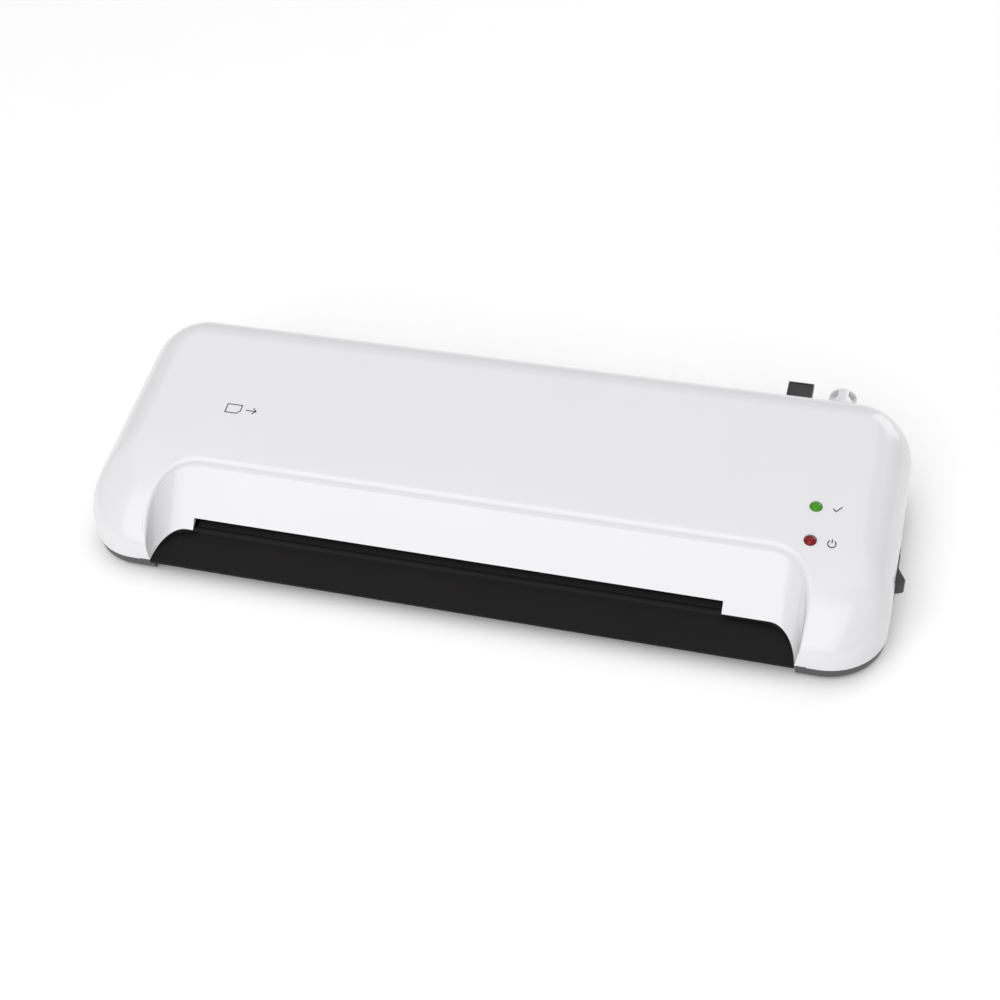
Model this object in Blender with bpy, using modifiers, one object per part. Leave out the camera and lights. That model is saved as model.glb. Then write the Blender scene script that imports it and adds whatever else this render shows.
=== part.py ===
"""Pouch laminator: a sloping two-part housing with a feed tray, rollers, heaters and drive.

Metres. X runs along the width, Y from the feed side to the back, Z up from the desk.
The pieces are laid out about the middle of the housing, and one empty moves them all so that
the origin lies under the middle of the whole object.
"""

import math

import bmesh
import bpy
from mathutils import Vector

# Housing
WIDTH = 0.345
SLOT_WIDTH = 0.230  # an A4 pouch and its margins
RIGHT_SIDE = 0.0655  # slot to the right wall, with the drive and the switch
DEPTH = 0.122
BACK_HEIGHT = 0.0519  # the sloping top carried on to the back wall
TOP_SLOPE = math.radians(8.7)
CORNER = 0.025  # plan radius of the four corners
SHOULDER = 0.0199  # radius between the top and the side and back walls
FRONT_ROLL = 0.044  # depth over which the top rolls down to the front edge
FRONT_LIP = 0.0006  # upright edge below the roll
COVER_BASE = 0.0072  # height of the cover's lower edge
WALL = 0.0022
GAP = 0.0003  # between pieces that meet
PAN_BASE = 0.002
PAN_INSET = 0.0006
BOSS_R = 0.0035
POST_R = 0.0045
BOSS_X = 0.0185  # from the side walls in to the screws
BOSS_Y = 0.017  # from the front and back walls in to the screws

# Recess over the tray, the pouch slot and the tray
RECESS_CHEEK = 0.0335  # side walls to the recess at RECESS_LEVEL
RECESS_LEVEL = 0.010
RECESS_DRAFT = 0.079  # widening for each metre up
RECESS_BACK = 0.018  # from the front edge back to the foot of the recess
RECESS_PITCH = math.radians(49.3)
RECESS_CORNER = 0.014  # at SLOT_TOP
RECESS_CORNER_RATE = 0.217
SLOT_TOP = 0.0185
EDGE_FRONT_Z = 0.0076  # lower edge of the recess wall at the front
EDGE_SLOPE = 0.472
TRAY_GAP = 0.0004
TRAY_LIP = 0.0003  # how far the tray stands in front of the cover
TRAY_LIP_Z = 0.0075
TRAY_SLOPE = 0.253
TRAY_THICK = 0.0014
TRAY_RIM = 0.0024
TRAY_RIM_Z = 0.0136
RAMP_GAP = 0.0005  # ramp's end to the heater shoes
RAMP_DROP = 0.00045  # ramp's end below the lower shoe's face
FINGER_GAP_DEPTH = 0.011
FINGER_GAP_CHEEK = 0.002  # left end of the gap, in from the recess

# Rollers, frames and heaters
ROLLER_R = 0.008
SHAFT_R = 0.003
RUN_GAP = 0.0003
ROLLER_BACK = 0.056  # back wall to the rollers
FLOOR_GAP = 0.0013  # pan floor to the lower roller
FRAME_LEFT = 0.006  # slot's left end to the left frame's outer face
FRAME_RIGHT = 0.0045  # slot's right end to the right frame's inner face
FRAME_THICK = 0.0015
SLEEVE_END = 0.003
BUSH_R = 0.0045
PLATE_GAP = 0.0007
LIFT = 0.0015
SHOE_FRONT = 0.031  # from the front edge back to the shoes
SHOE_BACK = 0.0035  # clear of the rollers
SHOE_THICK = 0.004
SHOE_GAP = 0.0024
STRIP_THICK = 0.0014
GEAR_TEETH = 16
MODULE = 2 * ROLLER_R / GEAR_TEETH  # the roller gears mesh where the rollers touch
PINION_TEETH = 20
GEAR_WIDTH = 0.006
GEAR_OFFSET = 0.0052  # from the right frame to the gears
PINION_ANGLE = math.radians(15)
MOTOR_R = 0.019
MOTOR_LENGTH = 0.022
MOTOR_OFFSET = (0.0076, 0.0073)  # from the output shaft to the motor's axis
MOTOR_CLEAR = 0.0002  # motor to the relief in the cover
OUTPUT_R = 0.0025

# Release shaft and lever
RELEASE_Y = 0.011  # from the back wall in to the shaft
RELEASE_Z = 0.035
RELEASE_R = 0.0025
CAM_R = 0.0038
CAM_THROW = 0.0029  # cam centre off the shaft
CAM_REST = math.radians(190)  # direction of the throw at rest
CAM_GAP = 0.00015
LEVER_SIDE = 0.0045  # right frame to the lever
LEVER_WIDTH = 0.011
LEVER_REACH = 0.010  # behind the back wall
LEVER_TOP = 0.005  # above the shaft
LEVER_TRAVEL = math.radians(30)
SPRING_Y = 0.023  # from the back wall in to the springs
SPRING_R = 0.0028
SPRING_WIRE = 0.0004
SPRING_TURNS = 6
SPRING_SEAT = 0.00048  # upper roller's axis up to the seat of the springs

# Switch, lamps, gland and feet
ROCKER_Y = -0.013
ROCKER_Z = 0.0172
ROCKER_R = 0.0079
ROCKER_HALF_HEIGHT = 0.0037
ROCKER_SUNK = 0.0014  # pivot below the side wall's face
ROCKER_TILT = math.radians(13)
ROCKER_NOTCH = 0.0019
BEZEL = 0.0006
SWITCH_DEPTH = 0.016
SWITCH_WALL = 0.0009
LAMP_X = 0.0350  # from the right wall in to the lamps
LAMP_Y = (0.0669, 0.0833)  # from the back wall to the two lamps
LAMP_R = 0.0025
BOARD_Z = 0.030
BOARD_THICK = 0.0015
BOARD_POST_X = 0.0085  # lamps to the posts that hold the board
BOARD_POST_Y = (0.0029, -0.0017)
GLAND_X = 0.0325  # from the right wall in to the gland
GLAND_Z = 0.0355
GLAND_R = 0.006
GLAND_LENGTH = 0.0078
CORD_R = 0.0033
FOOT_R = 0.006
FOOT_FLANGE = 0.009
FOOT_SEAT = 0.0008
FOOT_X = 0.032
FOOT_Y = 0.026

LEFT = -WIDTH / 2
RIGHT = WIDTH / 2
FRONT = -DEPTH / 2
BACK = DEPTH / 2
PAN_FLOOR = PAN_BASE + WALL
RECESS_HALF = WIDTH / 2 - RECESS_CHEEK
RECESS_FOOT = FRONT + RECESS_BACK
FINGER_GAP_X = (FINGER_GAP_CHEEK - RECESS_HALF, RECESS_HALF)
SLOT_RIGHT = RIGHT - RIGHT_SIDE
SLOT_LEFT = SLOT_RIGHT - SLOT_WIDTH
FRAME_L = SLOT_LEFT - FRAME_LEFT
FRAME_R = SLOT_RIGHT + FRAME_RIGHT
FRAME_FOOT_Z = PAN_FLOOR + GAP
LEVER_X = (FRAME_R + LEVER_SIDE, FRAME_R + LEVER_SIDE + LEVER_WIDTH)
GEAR_X = FRAME_R + GEAR_OFFSET
BRACKET_X = GEAR_X + GEAR_WIDTH + 0.0038
ROLLER_Y = BACK - ROLLER_BACK
LOWER_Z = PAN_FLOOR + FLOOR_GAP + ROLLER_R
NIP_Z = LOWER_Z + ROLLER_R
UPPER_Z = NIP_Z + ROLLER_R
SHOE_Y = (FRONT + SHOE_FRONT, ROLLER_Y - ROLLER_R - SHOE_BACK)
LAMPS = [(RIGHT - LAMP_X, BACK - y) for y in LAMP_Y]
SHAFT_Y = BACK - RELEASE_Y
SPRING_AT = BACK - SPRING_Y
SPRING_LOW = UPPER_Z + SPRING_SEAT
PINION_REACH = MODULE * (GEAR_TEETH + PINION_TEETH) / 2
PINION_YZ = (
    ROLLER_Y + PINION_REACH * math.cos(PINION_ANGLE),
    LOWER_Z + PINION_REACH * math.sin(PINION_ANGLE),
)
MOTOR_YZ = (PINION_YZ[0] + MOTOR_OFFSET[0], PINION_YZ[1] + MOTOR_OFFSET[1])
MOTOR_X = BRACKET_X + FRAME_THICK + GAP
SCREW_SPOTS = [
    (side * (WIDTH / 2 - BOSS_X), end * (DEPTH / 2 - BOSS_Y))
    for side in (-1, 1)
    for end in (-1, 1)
]
FOOT_SPOTS = [
    (side * (WIDTH / 2 - FOOT_X), end * (DEPTH / 2 - FOOT_Y))
    for side in (-1, 1)
    for end in (-1, 1)
]
FRAME_SCREWS = [
    (x, y)
    for x in (FRAME_L + FRAME_THICK - 0.006, FRAME_R + 0.006)
    for y in (FRONT + 0.036, BACK - 0.016)
]
ROCKER_PIVOT = (RIGHT - ROCKER_SUNK, ROCKER_Y, ROCKER_Z)
ROCKER_TIP = math.radians(27)
ROCKER_PROUD = ROCKER_R * math.sin(ROCKER_TIP + ROCKER_TILT) - ROCKER_SUNK

ACROSS = (math.pi / 2, 0, math.pi / 2)  # a flat outline's X and Y become the object's Y and Z


def clear_scene():
    for thing in list(bpy.data.objects):
        bpy.data.objects.remove(thing, do_unlink=True)
    for group in list(bpy.data.collections):
        bpy.data.collections.remove(group)


def new_collection(name):
    group = bpy.data.collections.new(name)
    bpy.context.scene.collection.children.link(group)
    return group


def make_material(name, colour, roughness, metallic=0.0):
    material = bpy.data.materials.new(name)
    material.use_nodes = True
    shader = material.node_tree.nodes["Principled BSDF"]
    shader.inputs["Base Color"].default_value = (*colour, 1)
    shader.inputs["Roughness"].default_value = roughness
    shader.inputs["Metallic"].default_value = metallic
    material.diffuse_color = (*colour, 1)
    return material


clear_scene()
PARTS = new_collection("pouch_laminator")
CUTTERS = new_collection("cutters")
ROOT = bpy.data.objects.new("laminator_root", None)
PARTS.objects.link(ROOT)
ROOT.location = (-ROCKER_PROUD / 2, -(LEVER_REACH - TRAY_LIP) / 2, 0)
WHITE = make_material("white_gloss_abs", (0.8, 0.8, 0.81), 0.25)
GREY = make_material("grey_abs", (0.13, 0.13, 0.14), 0.5)
BLACK = make_material("black_abs", (0.02, 0.018, 0.02), 0.5)
STEEL = make_material("zinc_plated_steel", (0.55, 0.56, 0.58), 0.35, 1.0)
SILICONE = make_material("orange_silicone", (0.45, 0.12, 0.04), 0.7)
ALUMINIUM = make_material("aluminium_shoe", (0.7, 0.7, 0.72), 0.35, 1.0)
NYLON = make_material("natural_nylon", (0.7, 0.66, 0.55), 0.5)
FOIL = make_material("heater_foil", (0.35, 0.16, 0.06), 0.5)
BOARD = make_material("board_laminate", (0.35, 0.25, 0.1), 0.5)
GREEN = make_material("green_lens", (0.06, 0.3, 0.02), 0.15)
RED = make_material("red_lens", (0.3, 0.01, 0.02), 0.15)
RUBBER = make_material("black_rubber", (0.015, 0.015, 0.015), 0.8)


def add_object(name, data, material, place=(0, 0, 0), turn=(0, 0, 0), cutter=False):
    thing = bpy.data.objects.new(name, data)
    thing.location = place
    thing.rotation_euler = turn
    thing.parent = ROOT
    (CUTTERS if cutter else PARTS).objects.link(thing)
    if material:
        data.materials.append(material)
    if cutter:
        thing.hide_render = True
        thing.display_type = "WIRE"
    return thing


def add_mesh(name, bm, material=None, place=(0, 0, 0), turn=(0, 0, 0), cutter=False):
    mesh = bpy.data.meshes.new(name)
    bm.to_mesh(mesh)
    bm.free()
    return add_object(name, mesh, material, place, turn, cutter)


def smooth(thing, degrees=30):
    thing.data.shade_smooth()
    thing.data.set_sharp_from_angle(angle=math.radians(degrees))
    return thing


def box(name, low, high, material=None, cutter=False, bevel=0.0):
    middle = [(a + b) / 2 for a, b in zip(low, high)]
    bm = bmesh.new()
    bmesh.ops.create_cube(bm, size=1)
    bmesh.ops.scale(bm, vec=[b - a for a, b in zip(low, high)], verts=bm.verts)
    thing = add_mesh(name, bm, material, middle, cutter=cutter)
    if bevel:
        edge = thing.modifiers.new("Bevel", "BEVEL")
        edge.width = bevel
        edge.segments = 2
    return thing


def rod(name, radius, start, end, material=None, cutter=False, sides=24):
    """A cylinder between two points on a line along X, Y or Z."""
    start, end = Vector(start), Vector(end)
    bm = bmesh.new()
    bmesh.ops.create_cone(
        bm,
        cap_ends=True,
        segments=sides,
        radius1=radius,
        radius2=radius,
        depth=(end - start).length,
    )
    turn = Vector((0, 0, 1)).rotation_difference(end - start).to_euler()
    thing = add_mesh(name, bm, material, (start + end) / 2, turn, cutter)
    return smooth(thing)


def turned(name, profile, place, turn, material=None, closed=False, sides=24, cutter=False):
    """A profile of (radius, height) points, top to bottom, turned about the local Z axis."""
    bm = bmesh.new()
    points = [bm.verts.new((radius, 0, height)) for radius, height in profile]
    for first, second in zip(points, points[1:]):
        bm.edges.new((first, second))
    if closed:
        bm.edges.new((points[-1], points[0]))
    thing = add_mesh(name, bm, material, place, turn, cutter)
    screw = thing.modifiers.new("Screw", "SCREW")
    screw.steps = sides
    screw.render_steps = sides
    screw.use_merge_vertices = True
    screw.merge_threshold = 0.00001
    return thing


def flat_outline(name, loops, x0, x1, yz=(0, 0), material=None, cutter=False):
    """Outlines in the Y-Z plane, holes included, made into a plate from x0 to x1."""
    curve = bpy.data.curves.new(name + "_outline", "CURVE")
    curve.dimensions = "2D"
    curve.fill_mode = "BOTH"
    curve.extrude = (x1 - x0) / 2
    for loop in loops:
        spline = curve.splines.new("POLY")
        spline.points.add(len(loop) - 1)
        for point, (y, z) in zip(spline.points, loop):
            point.co = (y, z, 0, 1)
        spline.use_cyclic_u = True
    guide = add_object(name + "_curve", curve, None, ((x0 + x1) / 2, *yz), ACROSS, cutter=True)
    bpy.context.view_layer.update()
    graph = bpy.context.evaluated_depsgraph_get()
    mesh = bpy.data.meshes.new_from_object(guide.evaluated_get(graph))
    bm = bmesh.new()
    bm.from_mesh(mesh)
    bmesh.ops.remove_doubles(bm, verts=bm.verts, dist=0.000001)
    bm.to_mesh(mesh)
    bm.free()
    thing = add_object(name, mesh, material, guide.location, ACROSS, cutter)
    bpy.data.objects.remove(guide)
    return thing


def circle(y, z, radius, steps=24):
    return [
        (y + radius * math.cos(2 * math.pi * i / steps), z + radius * math.sin(2 * math.pi * i / steps))
        for i in range(steps)
    ]


def arc(y, z, radius, start, end, steps):
    """Points on an arc, from the start angle to the end angle in degrees."""
    angles = [math.radians(start + (end - start) * i / steps) for i in range(steps + 1)]
    return [(y + radius * math.cos(a), z + radius * math.sin(a)) for a in angles]


def cut(thing, *cutters, operation="DIFFERENCE"):
    for cutter in cutters:
        step = thing.modifiers.new(cutter.name, "BOOLEAN")
        step.operation = operation
        step.object = cutter
    return thing


def loft(rings):
    """A closed solid through rings of equal length, anticlockwise, from the lowest to the highest."""
    bm = bmesh.new()
    loops = [[bm.verts.new(point) for point in ring] for ring in rings]
    for low, high in zip(loops, loops[1:]):
        for i in range(len(low)):
            j = (i + 1) % len(low)
            bm.faces.new((low[i], low[j], high[j], high[i]))
    bm.faces.new(list(reversed(loops[0])))
    bm.faces.new(loops[-1])
    return bm


def rounded_outline(x0, x1, y0, y1, radius, steps=5):
    """Points and outward normals, anticlockwise, of a rectangle with rounded corners."""
    corners = (
        (x1 - radius, y0 + radius, -90),
        (x1 - radius, y1 - radius, 0),
        (x0 + radius, y1 - radius, 90),
        (x0 + radius, y0 + radius, 180),
    )
    found = []
    for cx, cy, start in corners:
        for i in range(steps + 1):
            angle = math.radians(start + 90 * i / steps)
            normal = (math.cos(angle), math.sin(angle))
            found.append((cx + radius * normal[0], cy + radius * normal[1], normal))
    return found


def top_height(y):
    return BACK_HEIGHT - math.tan(TOP_SLOPE) * (BACK - y)


SPRING_TOP = top_height(SPRING_AT) - WALL - 0.0035 - 0.0012


def housing_rings(inset, bottom, steps=7):
    """Rings of the housing's outer shape, moved in by inset and starting at height bottom."""
    shoulder = SHOULDER - inset
    roll = FRONT_ROLL - inset
    drop = inset / math.cos(TOP_SLOPE)
    lip = COVER_BASE + FRONT_LIP
    rings = []
    for i in range(steps + 1):
        turn = math.radians(90 * i / steps)
        side = inset + shoulder * (1 - math.cos(turn))
        front = inset + roll * (1 - math.cos(turn))
        ring = []
        outline = rounded_outline(
            LEFT + side, RIGHT - side, FRONT + front, BACK - side, CORNER - side
        )
        for x, y, normal in outline:
            top = top_height(y) - drop
            side_z = top - shoulder * (1 - math.sin(turn))
            front_z = lip + (top - lip) * math.sin(turn)
            weight = min(normal[1], 0) ** 2
            ring.append((x, y, weight * front_z + (1 - weight) * side_z))
        rings.append(ring)
    return [[(x, y, bottom) for x, y, z in rings[0]]] + rings


def recess_cutter(name, grow):
    """The space over the tray: drafted sides, round back corners and a sloping back."""

    def outline(z):
        half = RECESS_HALF + RECESS_DRAFT * (z - RECESS_LEVEL) + grow
        back = RECESS_FOOT + (z - SLOT_TOP) / math.tan(RECESS_PITCH) + grow / math.sin(RECESS_PITCH)
        radius = RECESS_CORNER + RECESS_CORNER_RATE * (z - SLOT_TOP) + grow
        front = FRONT - 0.02
        right = arc(half - radius, back - radius, radius, 0, 90, 6)
        left = arc(radius - half, back - radius, radius, 90, 180, 6)
        return [(x, y, z) for x, y in [(-half, front), (half, front)] + right + left]

    return add_mesh(name, loft([outline(-0.01), outline(0.07)]), cutter=True)


def edge_height(y):
    """Lower edge of the recess wall."""
    return EDGE_FRONT_Z + EDGE_SLOPE * (y - FRONT)


def make_top_cover():
    cover = add_mesh("top_cover", loft(housing_rings(0, COVER_BASE)), WHITE)
    cavity = add_mesh("cover_cavity", loft(housing_rings(WALL, COVER_BASE - 0.01)), cutter=True)
    cut(cavity, recess_cutter("recess_wall", WALL))
    for i, (x, y) in enumerate(SCREW_SPOTS):
        cut(cavity, rod(f"cover_boss_{i}", BOSS_R, (x, y, -0.01), (x, y, 0.06), cutter=True, sides=16))
    for i, (x, y) in enumerate(LAMPS):
        post = Vector((x + BOARD_POST_X, y + BOARD_POST_Y[i], BOARD_Z + BOARD_THICK + GAP))
        top = post + Vector((0, 0, 0.04))
        cut(cavity, rod(f"board_post_{i}", 0.0022, post, top, cutter=True, sides=12))
    cut(cover, recess_cutter("recess", 0), cavity)
    start = Vector((MOTOR_X - MOTOR_CLEAR, *MOTOR_YZ))
    end = start + Vector((MOTOR_LENGTH + 2 * MOTOR_CLEAR, 0, 0))
    cut(cover, rod("motor_relief", MOTOR_R + MOTOR_CLEAR, start, end, cutter=True, sides=32))
    inner = FRONT + 0.026
    throat = [
        (FRONT - 0.01, -0.01),
        (inner, -0.01),
        (inner, edge_height(inner)),
        (FRONT - 0.01, edge_height(FRONT - 0.01)),
    ]
    half = RECESS_HALF + WALL + 0.002
    cut(cover, flat_outline("throat", [throat], -half, half, cutter=True))
    low = (SLOT_LEFT, RECESS_FOOT - 0.008, COVER_BASE)
    cut(cover, box("slot_notch", low, (SLOT_RIGHT, inner, SLOT_TOP), cutter=True))
    for i, (x, y) in enumerate(SCREW_SPOTS):
        end = (x, y, COVER_BASE + 0.011)
        cut(cover, rod(f"pilot_{i}", 0.0018, (x, y, 0), end, cutter=True, sides=16))
    for i, (x, y) in enumerate(LAMPS):
        low = (x, y, BOARD_Z + 0.003)
        hole = rod(f"lamp_hole_{i}", LAMP_R + GAP, low, (x, y, 0.06), cutter=True, sides=16)
        cut(cover, hole)
    swing = LEVER_TOP + 0.0005
    low_z = RELEASE_Z - (RELEASE_Y + 0.001) * math.tan(LEVER_TRAVEL) - 0.0015
    low = (LEVER_X[0] - 0.0013, SHAFT_Y + 0.001, low_z)
    high = (LEVER_X[1] + 0.0013, BACK + 0.01, RELEASE_Z + swing + 0.0015)
    cut(cover, box("lever_slot", low, high, cutter=True))
    x = RIGHT - GLAND_X
    low = (x, BACK - WALL - 0.0068, GLAND_Z)
    gland = rod("gland_hole", GLAND_R + GAP, low, (x, BACK + 0.01, GLAND_Z), cutter=True)
    cut(cover, gland)
    low = (RIGHT - 0.01, ROCKER_Y - 0.009, ROCKER_Z - 0.0052)
    high = (RIGHT + 0.01, ROCKER_Y + 0.009, ROCKER_Z + 0.0052)
    cut(cover, box("switch_hole", low, high, cutter=True))
    low = (SLOT_LEFT - 0.001, BACK - 0.01, NIP_Z - 0.003)
    high = (SLOT_RIGHT + 0.001, BACK + 0.01, NIP_Z + 0.003)
    cut(cover, box("exit_slot", low, high, cutter=True))
    return smooth(cover)


def make_base_pan():
    def level(inset, z):
        points = rounded_outline(LEFT + inset, RIGHT - inset, FRONT + inset, BACK - inset, CORNER - inset)
        return [(x, y, z) for x, y, normal in points]

    top = COVER_BASE - GAP
    edge = PAN_INSET + 0.0012
    rings = [level(edge, PAN_BASE), level(PAN_INSET, PAN_BASE + 0.0012), level(PAN_INSET, top)]
    pan = add_mesh("base_pan", loft(rings), GREY)
    inside = PAN_INSET + WALL
    cavity = add_mesh("pan_cavity", loft([level(inside, PAN_FLOOR), level(inside, top + 0.01)]), cutter=True)
    gap_back = FRONT + FINGER_GAP_DEPTH
    low = (FINGER_GAP_X[0] - WALL, FRONT - 0.01, -0.01)
    cut(cavity, box("gap_wall", low, (FINGER_GAP_X[1] + WALL, gap_back + WALL, 0.03), cutter=True))
    for i, (x, y) in enumerate(SCREW_SPOTS):
        cut(cavity, rod(f"pan_post_{i}", POST_R, (x, y, -0.01), (x, y, 0.03), cutter=True, sides=16))
    low = (FINGER_GAP_X[0], FRONT - 0.01, -0.01)
    cut(pan, cavity, box("finger_gap", low, (FINGER_GAP_X[1], gap_back, 0.03), cutter=True))
    low = (-RECESS_HALF, FRONT - 0.01, TRAY_LIP_Z - TRAY_THICK - GAP)
    cut(pan, box("lip_rest", low, (RECESS_HALF, FRONT + 0.005, 0.03), cutter=True))
    for i, (x, y) in enumerate(SCREW_SPOTS):
        cut(pan, rod(f"screw_way_{i}", 0.0018, (x, y, -0.01), (x, y, 0.03), cutter=True, sides=16))
        cut(pan, rod(f"screw_sink_{i}", 0.0034, (x, y, -0.01), (x, y, PAN_FLOOR), cutter=True, sides=16))
    for i, (x, y) in enumerate(FOOT_SPOTS):
        top_z = PAN_BASE + FOOT_SEAT
        cut(pan, rod(f"foot_seat_{i}", FOOT_R + GAP, (x, y, -0.01), (x, y, top_z), cutter=True))
    for i, (x, y) in enumerate(FRAME_SCREWS):
        cut(pan, rod(f"frame_way_{i}", 0.0016, (x, y, -0.01), (x, y, 0.03), cutter=True, sides=12))
    return pan


def tray_floor(y):
    return TRAY_LIP_Z + TRAY_SLOPE * (y - (FRONT - TRAY_LIP))


def make_feed_tray():
    """A sloping plate with a raised rim, and a ramp that leads the pouch to the heaters."""
    half = RECESS_HALF - TRAY_GAP - 0.0002
    back = RECESS_FOOT
    radius = RECESS_CORNER
    front = FRONT - TRAY_LIP
    ramp = 0.001

    def outline(inset):
        right = arc(half - radius, back - radius, radius - inset, 0, 90, 6)
        left = arc(radius - half, back - radius, radius - inset, 90, 180, 6)
        stops = [(x, back - inset) for x in (SLOT_RIGHT + ramp, SLOT_RIGHT, SLOT_LEFT, SLOT_LEFT - ramp)]
        edge = front + inset * 0.4
        return [(inset - half, edge), (half - inset, edge)] + right + stops + left

    def rim_height(x, y):
        inside = SLOT_LEFT - ramp / 2 < x < SLOT_RIGHT + ramp / 2 and y > back - 0.001
        wall = TRAY_RIM_Z if inside else edge_height(y) - GAP
        return max(wall, tray_floor(y))

    bm = bmesh.new()
    outer, inner = outline(0), outline(TRAY_RIM)
    low = [bm.verts.new((x, y, tray_floor(y) - TRAY_THICK)) for x, y in outer]
    rim = [bm.verts.new((x, y, rim_height(x, y))) for x, y in outer]
    floor = [bm.verts.new((x, y, tray_floor(y))) for x, y in inner]
    for a, b in ((low, rim), (rim, floor)):
        for i in range(len(a)):
            j = (i + 1) % len(a)
            bm.faces.new((a[i], a[j], b[j], b[i]))
    bm.faces.new(floor)
    bm.faces.new(list(reversed(low)))
    tray = add_mesh("feed_tray", bm, BLACK)
    end = SHOE_Y[0] - RAMP_GAP
    end_z = NIP_Z - SHOE_GAP / 2 - RAMP_DROP
    guide = [
        (back - 0.001, tray_floor(back) - 0.0008),
        (end, end_z - 0.0016),
        (end, end_z),
        (back - 0.0004, TRAY_RIM_Z - 0.0002),
    ]
    ends = (SLOT_LEFT + 0.0007, SLOT_RIGHT - 0.0007)
    ramp_plate = flat_outline("pouch_ramp", [guide], *ends, cutter=True)
    return cut(tray, ramp_plate, operation="UNION")


def make_exit_guide():
    """A flat duct from the rollers to the slot in the back wall."""
    front = ROLLER_Y + ROLLER_R + 0.002
    end = BACK - WALL - 0.0008
    low = (SLOT_LEFT - 0.001, front, NIP_Z - 0.006)
    high = (SLOT_RIGHT + 0.001, end, NIP_Z + 0.006)
    duct = box("exit_guide", low, high, BLACK)
    low = (SLOT_LEFT + 0.001, front - 0.01, NIP_Z - 0.0035)
    high = (SLOT_RIGHT - 0.001, end + 0.01, NIP_Z + 0.0035)
    return cut(duct, box("exit_way", low, high, cutter=True))


def frame_outline():
    top = top_height(SPRING_AT) - WALL - 0.0035
    front = FRONT + 0.029
    return [
        (front, FRAME_FOOT_Z),
        (BACK - 0.007, FRAME_FOOT_Z),
        (BACK - 0.007, RELEASE_Z + 0.005),
        (SPRING_AT + 0.005, top),
        (SPRING_AT - 0.005, top),
        (front + 0.010, top_height(front) - 0.0035 - 2 * WALL),
        (front, NIP_Z + 0.0015),
    ]


def make_side_frame(side):
    """A steel side plate with a foot and a spring seat bent outwards."""
    sign = -1 if side == "left" else 1
    inner = FRAME_L + FRAME_THICK if sign < 0 else FRAME_R
    outer = inner + sign * FRAME_THICK
    x0, x1 = sorted((inner, outer))
    slot = arc(ROLLER_Y, UPPER_Z + LIFT, SHAFT_R + 0.0006, 0, 180, 10)
    slot += arc(ROLLER_Y, UPPER_Z, SHAFT_R + 0.0006, 180, 360, 10)
    holes = [
        circle(ROLLER_Y, LOWER_Z, BUSH_R + GAP),
        slot,
        circle(SHAFT_Y, RELEASE_Z, RELEASE_R + RUN_GAP),
    ]
    frame = flat_outline(f"side_frame_{side}", [frame_outline()] + holes, x0, x1, material=STEEL)
    reach = inner + sign * 0.0125
    top = top_height(SPRING_AT) - WALL - 0.0035
    a, b = sorted((inner, reach))
    seat = box(
        f"spring_seat_{side}",
        (a, SPRING_AT - 0.004, top - 0.0012),
        (b, SPRING_AT + 0.004, top),
        cutter=True,
    )
    cut(frame, seat, operation="UNION")
    a, b = sorted((inner, inner + sign * FOOT_FLANGE))
    spans = ((FRONT + 0.0302, FRONT + 0.051), (BACK - 0.040, BACK - 0.009))
    for i, (y0, y1) in enumerate(spans):
        low = (a, y0, FRAME_FOOT_Z)
        foot = box(f"frame_foot_{side}_{i}", low, (b, y1, FRAME_FOOT_Z + 0.0012), cutter=True)
        cut(frame, foot, operation="UNION")
    for i, (x, y) in enumerate(FRAME_SCREWS):
        if x * sign > 0:
            hole = rod(f"frame_hole_{i}", 0.0016, (x, y, 0), (x, y, 0.009), cutter=True, sides=12)
            cut(frame, hole)
    return frame


def make_rollers():
    ends = (FRAME_L - 0.0035, GEAR_X + GEAR_WIDTH + 0.0005)
    sleeve = (FRAME_L + FRAME_THICK + SLEEVE_END, FRAME_R - SLEEVE_END)
    for level, z in (("lower", LOWER_Z), ("upper", UPPER_Z)):
        rod(f"{level}_roller_shaft", SHAFT_R, (ends[0], ROLLER_Y, z), (ends[1], ROLLER_Y, z), STEEL)
        half = (sleeve[1] - sleeve[0]) / 2
        inner, outer, edge = SHAFT_R + RUN_GAP, ROLLER_R - 0.0001, 0.0004
        profile = [
            (inner, half),
            (outer - edge, half),
            (outer, half - edge),
            (outer, edge - half),
            (outer - edge, -half),
            (inner, -half),
        ]
        place = ((sleeve[0] + sleeve[1]) / 2, ROLLER_Y, z)
        turn = (0, math.pi / 2, 0)
        turned(f"{level}_roller_sleeve", profile, place, turn, SILICONE, closed=True, sides=32)


def make_bush(name, x0, x1, z, sign):
    """A flanged plain bearing round a roller shaft."""
    inner = SHAFT_R + RUN_GAP
    length = x1 - x0 + 0.0006
    flange = 0.0006
    profile = [
        (inner, length / 2 + flange),
        (BUSH_R + 0.0012, length / 2 + flange),
        (BUSH_R + 0.0012, length / 2),
        (BUSH_R, length / 2),
        (BUSH_R, -length / 2),
        (inner, -length / 2),
    ]
    middle = (x0 + x1) / 2
    turned(name, profile, (middle, ROLLER_Y, z), (0, sign * math.pi / 2, 0), NYLON, closed=True)


def plate_span(side):
    """Both faces of a pressure plate, just outside its side frame."""
    if side == "left":
        return (FRAME_L - PLATE_GAP - FRAME_THICK, FRAME_L - PLATE_GAP)
    return (FRAME_R + FRAME_THICK + PLATE_GAP, FRAME_R + 2 * FRAME_THICK + PLATE_GAP)


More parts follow.
